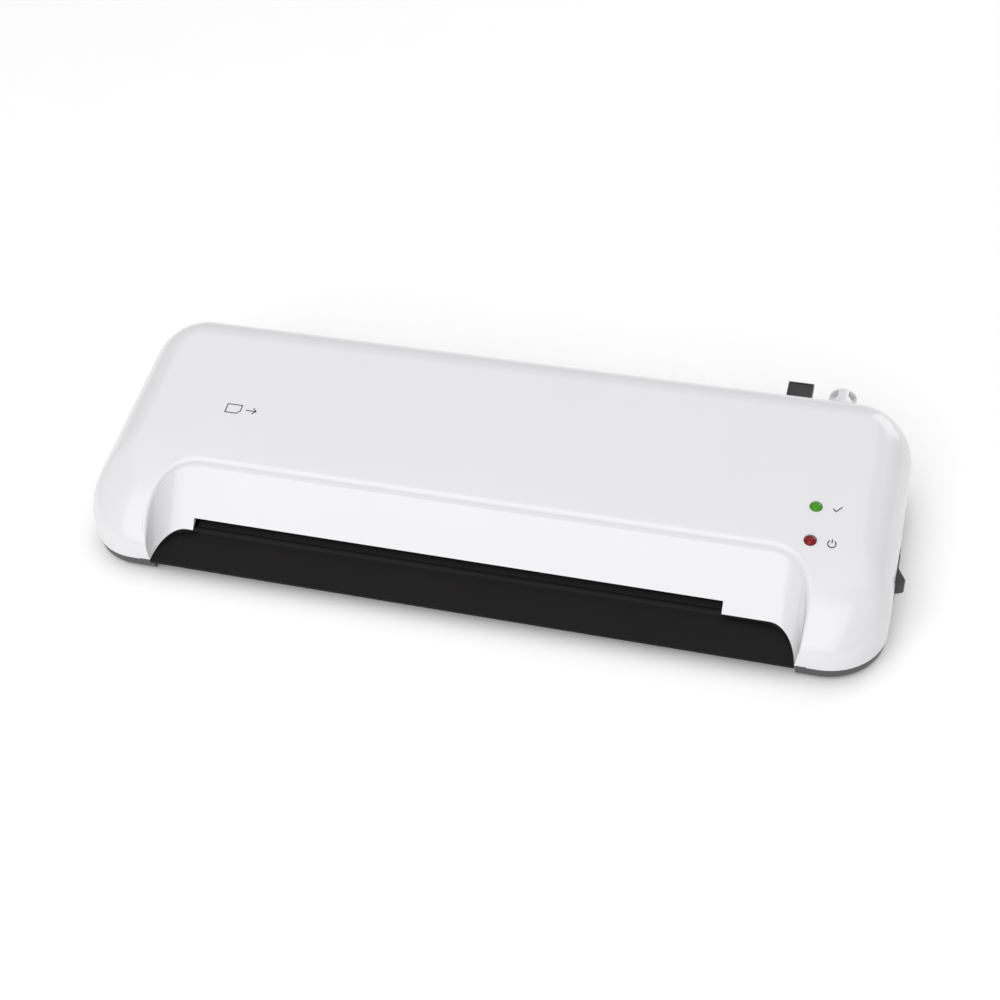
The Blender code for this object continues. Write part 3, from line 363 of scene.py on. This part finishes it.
recess = {"half": 0.139, "level": 0.010, "draft": 0.079, "foot": -0.043, "pitch": math.radians(49.3),
          "corner": 0.014, "cornerRate": 0.217, "slotTop": 0.0185, "edgeZ": 0.0076, "edgeSlope": 0.472,
          "rounding": 0.0022, "roundSteps": 8, "roundTurn": 82, "slotLeft": -0.123, "slotRight": 0.107,
          "ahead": 0.02, "low": -0.01, "high": 0.07, "start": 0.02, "sideSteps": 24, "cornerSteps": 16}


def recessOutline(z, grow=0.0):
    # level section of the recess, from its right end round the back to its left end
    r = recess
    ahead, steps = front - r["ahead"], r["cornerSteps"]
    half = r["half"] + r["draft"] * (z - r["level"]) + grow
    rear = r["foot"] + (z - r["slotTop"]) / math.tan(r["pitch"]) + grow / math.sin(r["pitch"])
    radius = r["corner"] + r["cornerRate"] * (z - r["slotTop"]) + grow
    run = [(half, ahead + (rear - radius - ahead) * j / r["sideSteps"]) for j in range(r["sideSteps"])]
    rest = [(-x, y) for x, y in reversed(run)]
    return [*run, *arcPoints(half - radius, rear - radius, radius, 0, 90, steps),
            *arcPoints(radius - half, rear - radius, radius, 90, 180, steps), *rest]


def recessCutter(name, grow):
    ends = recess["low"], recess["high"]
    return loft(name, [[(x, y, z) for x, y in recessOutline(z, grow)] for z in ends])


def flaredCutter():
    # the recess wall, then a rounded lip where it meets the outer skin
    r = recess
    low, high = r["low"], r["high"]
    feet, tops = recessOutline(low), recessOutline(high)
    count = len(feet)

    def wallPoint(j, z):
        return Vector((*feet[j], low)).lerp(Vector((*tops[j], high)), (z - low) / (high - low))

    meet, away = [], []
    for j in range(count):
        z = r["start"]
        for _ in range(40):  # halving steps towards the height where wall and skin meet
            p = wallPoint(j, z)
            z = 0.5 * z + 0.5 * surfaceHeight(p.x, p.y)
        meet.append(wallPoint(j, z))
    for j in range(count):
        step = meet[(j + 1) % count] - meet[j - 1]
        if j in (0, count - 1):  # the open front has no neighbour to take a direction from
            step = Vector((0, 1 if j == 0 else -1, 0))
        side = Vector((step.y, -step.x, 0))
        away.append(side.normalized() if side.length else Vector((1, 0, 0)))
    rho = r["rounding"]
    rings = [[tuple(wallPoint(j, low)) for j in range(count)],
             [tuple(wallPoint(j, meet[j].z - rho)) for j in range(count)]]
    for i in range(1, r["roundSteps"] + 1):
        a = math.radians(r["roundTurn"] * i / r["roundSteps"])
        out, below = rho * (1 - math.cos(a)), rho * (1 - math.sin(a))
        flat = [meet[j] + away[j] * out for j in range(count)]
        rings.append([(p.x, p.y, surfaceHeight(p.x, p.y) - below) for p in flat])
    rings.append([(x, y, high) for x, y, z in rings[-1]])
    return loft("flaredRecess", rings)


def edgeHeight(y):
    # lower edge of the cover's cheeks beside the tray
    return recess["edgeZ"] + recess["edgeSlope"] * (y - front)


screwSpots = [(-0.154, -0.044), (-0.154, 0.044), (0.154, -0.044), (0.154, 0.044)]
coverCuts = {"boss": 0.0035, "pilot": 0.0018, "pilotEnd": 0.0182,
             "post": 0.0022, "postFoot": 0.0318, "posts": ((0.146, -0.003), (0.146, -0.024)),
             "lampR": 0.00262, "lampFoot": 0.033, "lamps": ((0.1375, -0.0059), (0.1375, -0.0223)),
             "throatDepth": 0.026, "throatSide": 0.0042, "slotDepth": 0.008,
             "lever": ((0.1147, 0.051, 0.0266), (0.1283, 0.071, 0.0420)),
             "gland": (0.140, 0.0355, 0.0063),
             "switch": ((0.1625, -0.022, 0.012), (0.1825, -0.004, 0.0224)),
             "exit": ((-0.124, 0.051, 0.0185), (0.108, 0.071, 0.0245))}


def makeTopCover():
    c, h, r = coverCuts, housing, recess
    cover = loft("topCover", housingRings(0, h["base"]), glossWhiteAbs)
    boolean(cover, flaredCutter())
    cavity = loft("cavity", housingRings(h["wall"], h["base"] + under))
    boolean(cavity, recessCutter("recessWall", h["wall"]))
    for x, y in screwSpots:
        boolean(cavity, rodAlong("coverBoss", c["boss"], (x, y, under), (x, y, over)))
    for x, y in c["posts"]:  # hold the control board
        boolean(cavity, rodAlong("boardPost", c["post"], (x, y, c["postFoot"]), (x, y, over)))
    boolean(cover, cavity)
    for x, y in screwSpots:
        boolean(cover, rodAlong("pilotHole", c["pilot"], (x, y, 0), (x, y, c["pilotEnd"])))
    inner, outer = front + c["throatDepth"], front + under
    side = r["half"] + c["throatSide"]
    profile = [(outer, under), (inner, under), (inner, edgeHeight(inner)), (outer, edgeHeight(outer))]
    boolean(cover, loft("throat", [[(x, y, z) for y, z in profile] for x in (-side, side)]))
    boolean(cover, block("slotNotch", (r["slotLeft"], r["foot"] - c["slotDepth"], h["base"]),
                         (r["slotRight"], inner, r["slotTop"])))
    for x, y in c["lamps"]:
        boolean(cover, rodAlong("lampHole", c["lampR"], (x, y, c["lampFoot"]), (x, y, over)))
    x, z, radius = c["gland"]
    boolean(cover, block("leverSlot", *c["lever"]))
    boolean(cover, rodAlong("glandHole", radius, (x, back - 0.009, z), (x, back + 0.01, z)))
    boolean(cover, block("switchHole", *c["switch"]))
    boolean(cover, block("exitSlot", *c["exit"]))
    smoothed(cover, 32)
    return keepPiece(cover, "white_abs", "root", "top_cover")


makeTopCover()
print("top cover made")


def turnedPiece(name, profile, place, aim=(0, 0, 1), material=None, closed=False, steps=64):
    # half section (radius, height) spun about its own axis, then stood along aim
    edges = [(i, i + 1) for i in range(len(profile) - 1)]
    if closed:
        edges.append((len(profile) - 1, 0))
    thing = meshThing(name, [(r, 0, z) for r, z in profile], edges, [])
    activate(thing)
    bpy.ops.object.mode_set(mode="EDIT")
    bpy.ops.mesh.select_all(action="SELECT")
    bpy.ops.mesh.spin(steps=steps, angle=math.tau, center=(0, 0, 0), axis=(0, 0, 1))
    bpy.ops.object.mode_set(mode="OBJECT")
    facedOutwards(thing, 1e-6)
    stand = Vector(aim).to_track_quat("Z", "Y").to_matrix().to_4x4()
    thing.matrix_world = Matrix.Translation(Vector(place) + shift) @ stand
    activate(thing)
    bpy.ops.object.transform_apply(location=True, rotation=True, scale=True)
    if material:
        thing.data.materials.append(material)
    return thing


def copiedTo(thing, name, offset):
    other = thing.copy()
    other.data = thing.data.copy()
    other.name = name
    bpy.context.scene.collection.objects.link(other)
    other.data.transform(Matrix.Translation(offset))
    return other


footSpots = [(-0.1405, -0.035), (-0.1405, 0.035), (0.1405, -0.035), (0.1405, 0.035)]
frameScrewSpots = [(-0.1335, -0.025), (-0.1335, 0.045), (0.1175, -0.025), (0.1175, 0.045)]
pan = {"base": 0.002, "top": 0.0069, "inset": 0.0006, "edge": 0.0003, "round": 0.0012, "roundSteps": 5,
       "floor": 0.0042, "post": 0.0045, "gap": ((-0.137, -0.071, under), (0.139, -0.050, over)),
       "lipRest": 0.0058, "lipDepth": 0.005, "screwWay": 0.0018, "screwSink": 0.0034,
       "footSeat": 0.0063, "seatDepth": 0.0008, "frameWay": 0.0016, "frameWaySides": 24}


def makeBasePan():
    p, h = pan, housing

    def level(inset, z):
        return [(x, y, z) for x, y, ny in housingOutline(left + inset, right - inset, front + inset,
                                                         back - inset, h["corner"] - inset)]

    rings = []
    for i in range(p["roundSteps"] + 1):
        a = math.radians(90 * i / p["roundSteps"])
        rings.append(level(p["inset"] + p["round"] * (1 - math.sin(a)),
                           p["base"] + p["round"] * (1 - math.cos(a))))
    rings.append(level(p["inset"], p["top"] - p["edge"]))
    rings.append(level(p["inset"] + p["edge"], p["top"]))
    shell = loft("basePan", rings, satinGreyAbs)
    inside = p["inset"] + h["wall"]
    hollow = loft("panHollow", [level(inside, p["floor"]), level(inside, p["top"] - under)])
    (x0, y0, z0), (x1, y1, z1) = p["gap"]
    boolean(hollow, block("gapWall", (x0 - h["wall"], y0, z0), (x1 + h["wall"], y1 + h["wall"], z1)))
    for x, y in screwSpots:
        boolean(hollow, rodAlong("panPost", p["post"], (x, y, under), (x, y, over)))
    boolean(shell, hollow)
    boolean(shell, block("fingerGap", *p["gap"]))
    boolean(shell, block("lipRest", (-recess["half"], front + under, p["lipRest"]),
                         (recess["half"], front + p["lipDepth"], over)))
    for x, y in screwSpots:
        boolean(shell, rodAlong("screwWay", p["screwWay"], (x, y, under), (x, y, over)))
        boolean(shell, rodAlong("screwSink", p["screwSink"], (x, y, under), (x, y, p["floor"])))
    for x, y in footSpots:
        top = p["base"] + p["seatDepth"]
        boolean(shell, rodAlong("footSeat", p["footSeat"], (x, y, under), (x, y, top)))
    for x, y in frameScrewSpots:
        way = rodAlong("frameWay", p["frameWay"], (x, y, under), (x, y, over), p["frameWaySides"])
        boolean(shell, way)
    smoothed(shell, 32)
    return keepPiece(shell, "grey_abs", "root", "base_pan")


makeBasePan()
print("base pan made")

feed = {"gap": 0.0006, "radius": 0.014, "lip": 0.0003, "lipZ": 0.0075, "slope": 0.253, "thick": 0.0014,
        "rim": 0.0024, "rimZ": 0.0136, "flat": 0.0005, "steps": 10, "ramp": 0.001, "edge": 0.0003,
        "sideSteps": 12, "cornerSteps": 14,
        "rampEnd": (-0.0306, 0.01865, 0.01985), "rampGap": 0.0007}  # y, low and high of the ramp's rear edge


def trayFloor(y):
    return feed["lipZ"] + feed["slope"] * (y - (front - feed["lip"]))


def makeFeedTray():
    # a sloping plate whose raised rim runs down to the floor in a hollow curve
    f = feed
    half, rear, ahead = recess["half"] - f["gap"], recess["foot"], front - f["lip"]

    slotLeft, slotRight = recess["slotLeft"], recess["slotRight"]
    radius, steps, sideSteps = f["radius"], f["cornerSteps"], f["sideSteps"]

    def outline(inset):
        edge = ahead + inset * 0.4
        run = [(half - inset, edge + (rear - radius - edge) * j / sideSteps) for j in range(sideSteps)]
        rest = [(-x, y) for x, y in reversed(run)]
        stops = [(x, rear - inset)
                 for x in (slotRight + f["ramp"], slotRight, slotLeft, slotLeft - f["ramp"])]
        return [*run, *arcPoints(half - radius, rear - radius, radius - inset, 0, 90, steps), *stops,
                *arcPoints(radius - half, rear - radius, radius - inset, 90, 180, steps), *rest]

    def rimHeight(x, y):
        inSlot = slotLeft - f["ramp"] / 2 < x < slotRight + f["ramp"] / 2 and y > rear - f["ramp"]
        return max(f["rimZ"] if inSlot else edgeHeight(y) - f["edge"], trayFloor(y))

    outer = outline(0)
    tops = [rimHeight(x, y) for x, y in outer]
    lift = [t - trayFloor(y) for t, (x, y) in zip(tops, outer)]
    rings = [[(x, y, trayFloor(y) - f["thick"]) for x, y in outer],
             [(x, y, t - min(f["edge"], l)) for (x, y), t, l in zip(outer, tops, lift)],
             [(x, y, t) for (x, y), t in zip(outline(0.0002), tops)],
             [(x, y, t) for (x, y), t in zip(outline(f["flat"]), tops)]]
    width = f["rim"] - f["flat"]
    for i in range(1, f["steps"] + 1):
        a = math.radians(90 * i / f["steps"])
        inner = outline(f["flat"] + width * (1 - math.cos(a)))
        rings.append([(x, y, trayFloor(y) + l * (1 - math.sin(a))) for (x, y), l in zip(inner, lift)])
    tray = loft("feedTray", rings, satinBlackAbs)
    endY, endLow, endHigh = f["rampEnd"]
    ends = slotLeft + f["rampGap"], slotRight - f["rampGap"]
    shape = [(rear - 0.001, trayFloor(rear) - 0.0008), (endY, endLow), (endY, endHigh),
             (rear - 0.0004, f["rimZ"] - 0.0002)]
    boolean(tray, loft("pouchRamp", [[(x, y, z) for y, z in shape] for x in ends]), "UNION")
    smoothed(tray, 30)
    return keepPiece(tray, "black_abs", "root", "feed_tray")


makeFeedTray()
print("feed tray made")

lever = {"x": (0.116, 0.127), "y": 0.050, "z": 0.035, "head": 0.005, "reach": 0.021, "bore": 0.00275,
         "bevel": 0.00035, "pad": 0.0008, "padDepth": 0.00018, "padStart": 0.0068, "padEnd": 0.0016,
         "heel": (0.0066, -0.0012), "nose": 0.0008}


def makeReleaseLever():
    v = lever
    y0, z0, head, reach = v["y"], v["z"], v["head"], v["reach"]
    outline = [*arcPoints(0, 0, head, 90, 290, 40), v["heel"],
               (reach - 0.0015, head - 0.0036), (reach, head - 0.0026),
               (reach, head - v["nose"]), (reach - v["nose"], head)]
    x0, x1 = v["x"]
    piece = loft("releaseLever", [[(x, y0 + y, z0 + z) for y, z in outline] for x in (x0, x1)], charcoalAbs)
    boolean(piece, rodAlong("leverBore", v["bore"], (x0 - 0.01, y0, z0), (x1 + 0.01, y0, z0)))
    bevelled(piece, v["bevel"])
    padZ = z0 + head - v["padDepth"]
    boolean(piece, block("padCut", (x0 + v["pad"], y0 + v["padStart"], padZ),
                         (x1 - v["pad"], y0 + reach - v["padEnd"], z0 + head + 0.01)))
    piece.data.materials.append(grainedBlackAbs)
    for face in piece.data.polygons:  # the floor of the sunk pad is grained
        if face.normal.z > 0.9 and abs(face.center.z - padZ) < 4e-5:
            face.material_index = 1
    smoothed(piece, 30)
    return keepPiece(piece, "black_abs", "release", "release_lever")


makeReleaseLever()

rocker = {"y": -0.013, "z": 0.0172, "r": 0.0079, "half": 0.0037, "tilt": 13, "tip": 27, "sunk": 0.0014,
          "notch": 0.0019, "notchHalf": 0.0012, "bevel": 0.00028,
          "gapY": 0.0007, "gapZ": 0.0003, "wall": 0.0009, "depth": 0.016, "proud": 0.0002,
          "rimY": 0.0011, "rimZ": 0.0015, "rimBevel": 0.00006, "pocket": 0.0062, "pocketInset": 0.0004}


def makeRockerSwitch():
    k = rocker
    outline = [*arcPoints(0, 0, k["r"], -20, k["tip"], 16),
               (k["notchHalf"], k["notch"]), (-k["notchHalf"], k["notch"]),
               *arcPoints(0, 0, k["r"], 180 - k["tip"], 200, 16)]
    pivot = Vector((right - k["sunk"], k["y"], k["z"]))
    turn = Matrix.Rotation(math.radians(k["tilt"]), 3, "Z")
    rings = [[tuple(pivot + turn @ Vector((out, along, z))) for along, out in reversed(outline)]
             for z in (-k["half"], k["half"])]
    paddle = loft("powerRocker", rings, charcoalAbs)
    bevelled(paddle, k["bevel"])
    smoothed(paddle, 28)
    keepPiece(paddle, "black_abs", "rocker", "power_rocker")
    halfY, halfZ, outside = k["r"] + k["gapY"], k["half"] + k["gapZ"], right + k["proud"]

    def aroundPivot(name, x0, x1, growY, growZ, material=None, bevel=0.0):
        return block(name, (x0, k["y"] - halfY - growY, k["z"] - halfZ - growZ),
                     (x1, k["y"] + halfY + growY, k["z"] + halfZ + growZ), material, bevel)

    body = aroundPivot("switchHousing", right - k["depth"], outside, 0, k["wall"], charcoalAbs)
    rim = aroundPivot("switchBezel", right + 0.00003, outside, k["rimY"], k["rimZ"], None, k["rimBevel"])
    boolean(body, rim, "UNION")
    boolean(body, aroundPivot("pocket", pivot.x - k["pocket"], right + 0.01, -k["pocketInset"], 0))
    smoothed(body, 25)
    return keepPiece(body, "black_abs", "root", "switch_housing")


makeRockerSwitch()
print("lever and switch made")

lamps = {"r": 0.0025, "crown": 0.0014, "sunk": 0.0002, "depth": 0.0034, "stem": 0.0015, "stemEnd": 0.0339,
         "collar": (0.0026, 0.0032, 0.00022), "steps": 48,
         "ready": (*coverCuts["lamps"][0], "green_lens"), "power": (*coverCuts["lamps"][1], "red_lens")}


def makeLamps():
    m = lamps
    for name in ("ready", "power"):
        x, y, slotName = m[name]
        z = surfaceHeight(x, y)
        low, rise = z - m["sunk"], m["crown"] + m["sunk"]
        crown = [(m["r"] * math.cos(math.radians(a)), low + rise * math.sin(math.radians(a)))
                 for a in range(81, -1, -9)]
        profile = [(0, low + rise), *crown, (m["r"], z - m["depth"]), (m["stem"], z - m["depth"]),
                   (m["stem"], m["stemEnd"]), (0, m["stemEnd"])]
        lens = turnedPiece(f"{name}Lens", profile, (x, y, 0), material=slotFinish[slotName], steps=m["steps"])
        smoothed(lens, 35)
        keepPiece(lens, slotName, "root", f"{name}_lens")
        inner, outer, high = m["collar"]  # low bead round the lens, square to the skin there
        slope = (surfaceHeight(x, y + 0.002) - surfaceHeight(x, y - 0.002)) / 0.004
        bead = [(inner, -0.0004), (outer + 0.0002, -0.0004), (outer, high * 0.5), (outer - 0.0002, high),
                (inner + 0.0001, high), (inner, high * 0.6)]
        collar = turnedPiece(f"{name}Collar", bead, (x, y, z), (0, -slope, 1), glossWhiteAbs,
                             closed=True, steps=m["steps"])
        keepPiece(smoothed(collar, 40), "white_abs", "root")


makeLamps()

gland = {"x": coverCuts["gland"][0], "z": coverCuts["gland"][1], "cord": 0.0033, "r": 0.006,
         "inner": 0.052, "length": 0.0078, "flange": 0.001, "flangeDepth": 0.0025, "nose": 0.0012,
         "edge": 0.0003, "window": (0.0014, 0.0062), "middles": (43, 137, 223, 317), "halfAngle": 25}


def makeCordGland():
    # bend relief whose wall is opened by windows, with ribs left between them
    g = gland
    end, inner, bore, radius, bend = back + g["length"], g["inner"], g["cord"], g["r"], g["nose"]
    wide, step = radius + g["flange"], inner + g["flangeDepth"]
    nose = arcPoints(radius - bend, end - bend, bend, 0, 90, 6)
    profile = [(bore + g["edge"], end), (bore, end - g["edge"]), (bore, inner), (wide, inner),
               (wide, step), (radius, step), *nose]
    piece = turnedPiece("cordGland", profile, (g["x"], 0, g["z"]), (0, 1, 0), glossWhiteAbs, closed=True)
    y0, y1 = back + g["window"][0], back + g["window"][1]
    for middle in g["middles"]:
        a0, a1 = middle - g["halfAngle"], middle + g["halfAngle"]
        near = arcPoints(g["x"], g["z"], bore - 0.001, a0, a1, 10)
        far = arcPoints(g["x"], g["z"], radius + 0.002, a1, a0, 10)
        boolean(piece, loft("window", [[(x, y, z) for x, z in near + far] for y in (y0, y1)]))
    smoothed(piece, 30)
    return keepPiece(piece, "white_abs", "root", "cord_gland")


makeCordGland()
print("lamps and gland made")

foot = {"r": 0.006, "top": 0.0025, "steps": 48}
screw = {"head": 0.0030, "low": 0.0025, "under": 0.0039, "shank": 0.0015, "end": 0.0162, "depth": 0.0003,
         "pitch": 0.00095, "cross": ((0.0018, 0.0004), (0.0004, 0.0018)), "crossDepth": 0.0011, "steps": 32}


def makeFeetAndScrews():
    def copyRound(first, spots, pieceName, slotName, nodeName):
        x, y = spots[0]
        for i, (u, v) in enumerate(spots):
            offset = Vector((u - x, v - y, 0))
            one = copiedTo(first, f"{pieceName}{i + 1}", offset) if i else first
            keepPiece(one, slotName, "root", f"{nodeName}_{i + 1}")

    x, y = footSpots[0]
    radius, top = foot["r"], foot["top"]
    profile = [(0, top), (radius, top), (radius, 0.0009), (radius - 0.00015, 0.0004),
               (radius - 0.0005, 0.0001), (radius - 0.001, 0), (0.0042, 0),
               (0.0040, 0.0003), (0.0034, 0.0003), (0.0032, 0), (0, 0)]
    first = turnedPiece("foot1", profile, (x, y, 0), material=mouldedRubber, steps=foot["steps"])
    copyRound(smoothed(first, 30), footSpots, "foot", "foot_rubber", "foot")

    s = screw
    x, y = screwSpots[0]
    end, shank, seat, head, low = s["end"], s["shank"], s["under"], s["head"], s["low"]
    core = shank - s["depth"]
    profile = [(0, end), (0.0004, end - 0.0004), (core, end - 0.0016)]
    z = end - 0.0022
    while z > seat + 0.0012:  # coarse thread for plastic
        profile += [(shank, z), (core, z - 0.00035), (core, z - 0.0007)]
        z -= s["pitch"]
    profile += [(shank, seat + 0.0004), (shank, seat), (head, seat), (head, low + 0.0006),
                (head - 0.0002, low + 0.0002), (head - 0.0007, low), (0, low)]
    first = turnedPiece("caseScrew1", profile, (x, y, 0), material=zincPlatedSteel, steps=s["steps"])
    for wide, deep in s["cross"]:
        boolean(first, block("crossRecess", (x - wide, y - deep, low - 0.01),
                             (x + wide, y + deep, low + s["crossDepth"])))
    copyRound(smoothed(first, 30), screwSpots, "caseScrew", "steel", "case_screw")


makeFeetAndScrews()
print("feet and screws made")

spring = {"r": 0.0028, "wire": 0.0004, "turns": 6, "steps": 24, "crowding": 0.75, "travel": 0.0015}


def makeSprings():
    # compression springs with closed ends
    c = spring
    for side in ("left", "right"):
        low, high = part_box(f"pressure_spring_{side}")
        middle = (low + high) / 2
        curve = bpy.data.curves.new(f"{side}Spring", "CURVE")
        curve.dimensions, curve.bevel_depth, curve.bevel_resolution = "3D", c["wire"], 3
        curve.use_fill_caps = True
        count = c["turns"] * c["steps"] + 1
        line = curve.splines.new("POLY")
        line.points.add(count - 1)
        for i, point in enumerate(line.points):
            share = i / (count - 1)
            # turns lie closer at both ends
            eased = share - c["crowding"] * math.sin(math.tau * share) / math.tau
            a = math.tau * c["turns"] * share
            z = low.z + c["wire"] + (high.z - low.z - 2 * c["wire"]) * eased
            point.co = (middle.x + c["r"] * math.cos(a), middle.y + c["r"] * math.sin(a), z, 1)
        coil = bpy.data.objects.new(f"{side}Spring", curve)
        bpy.context.scene.collection.objects.link(coil)
        activate(coil)
        bpy.ops.object.convert(target="MESH")
        coil = bpy.context.object
        coil.data.materials.clear()
        coil.data.materials.append(drawnSpringSteel)
        smoothed(coil, 40)
        keepPiece(coil, "spring_steel", "root", f"pressure_spring_{side}")
        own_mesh(coil)


makeSprings()
print("springs made")

marks = {"width": 0.00042, "lift": 0.00006, "thick": 0.00008, "beside": 0.0085, "sheetAt": (-0.118, 0.0023),
         "tick": [(-0.0016, 0.0002), (-0.0005, -0.0011), (0.0018, 0.0015)],
         "ring": arcPoints(0, -0.0002, 0.0016, 125, 415, 28), "bar": [(0, 0.0001), (0, 0.0019)],
         "sheet": [(-0.0034, -0.0023), (0.0020, -0.0023), (0.0034, -0.0009), (0.0034, 0.0023),
                   (-0.0034, 0.0023)],
         "stem": [(0.0058, 0), (0.0105, 0)], "head": [(0.0088, 0.0016), (0.0106, 0), (0.0088, -0.0016)]}


def inkRibbon(name, points, closed, at):
    # printed line of even width, following the skin of the cover
    w, count = marks["width"] / 2, len(points)
    pairs = []
    for i, (px, py) in enumerate(points):
        a = Vector(points[i - 1 if closed or i else i])
        b = Vector(points[(i + 1) % count if closed or i < count - 1 else i])
        here = Vector((px, py))
        before = (here - a).normalized() if (here - a).length else (b - here).normalized()
        after = (b - here).normalized() if (b - here).length else before
        across = Vector((-(before + after).y, (before + after).x)).normalized()
        reach = w / max(abs(across.dot(Vector((-before.y, before.x)))), 0.4)
        pairs.append((here + across * reach, here - across * reach))
    spots = []
    for p, q in pairs:
        for s in (p, q):
            x, y = at[0] + s.x, at[1] + s.y
            spots.append(tuple(Vector((x, y, surfaceHeight(x, y) + marks["lift"])) + shift))
    faces = []
    for i in range(count if closed else count - 1):
        j = (i + 1) % count
        faces.append((2 * i, 2 * i + 1, 2 * j + 1, 2 * j))
    thing = facedOutwards(meshThing(name, spots, [], faces, padPrintedInk))
    applyModifier(thing, "SOLIDIFY", thickness=marks["thick"], offset=0)
    return keepPiece(thing, "black_abs", "root")


def makeMarks():
    # beside each lamp, and a sheet with its way in at the left
    ready, power = [(x + marks["beside"], y) for x, y in coverCuts["lamps"]]
    inkRibbon("tickMark", marks["tick"], False, ready)
    inkRibbon("powerRing", marks["ring"], False, power)
    inkRibbon("powerBar", marks["bar"], False, power)
    inkRibbon("sheetMark", marks["sheet"], True, marks["sheetAt"])
    inkRibbon("arrowStem", marks["stem"], False, marks["sheetAt"])
    inkRibbon("arrowHead", marks["head"], False, marks["sheetAt"])


makeMarks()
print("printed marks made")

for thing in nodes.values():  # the nodes that stay get their slot's finish
    for place in thing.material_slots:
        place.material = slotFinish[place.material.name.split(".")[0]]

studio = {"floor": ("FCFCFC", "FAFAFA"), "size": 9, "aim": (0, 0, 0.02), "world": 0.5, "lights": (
    ("keyLight", (-0.2, -1.35, 1.15), 2.0, 22), ("skyLight", (-0.2, 0.6, 2.3), 3.2, 21),
    ("rimLight", (0.95, 1.45, 0.62), 1.0, 6))}


def makeStudio():
    s = studio
    deselect()
    bpy.ops.mesh.primitive_plane_add(size=s["size"], location=(0, 0, 0))
    floor = bpy.context.object
    floor.name = "studioFloor"
    bpy.ops.object.transform_apply(location=True, rotation=True, scale=True)
    floor.data.materials.append(surfaceFinish("paintedFloor", *s["floor"], 0.8, 6, 0.02, ior=1.45))
    for name, place, size, power in s["lights"]:
        data = bpy.data.lights.new(name, "AREA")
        data.size, data.energy = size, power
        thing = bpy.data.objects.new(name, data)
        bpy.context.scene.collection.objects.link(thing)
        turn = (Vector(s["aim"]) - Vector(place)).to_track_quat("-Z", "Y")
        thing.matrix_world = Matrix.Translation(place) @ turn.to_matrix().to_4x4()
    world = bpy.data.worlds.new("softRoom")
    bpy.context.scene.world = world
    world.use_nodes = True
    background = world.node_tree.nodes["Background"]
    background.inputs["Color"].default_value = (1, 1, 1, 1)
    background.inputs["Strength"].default_value = s["world"]
    bpy.context.scene.view_settings.view_transform = "Standard"


makeStudio()
print("studio set")
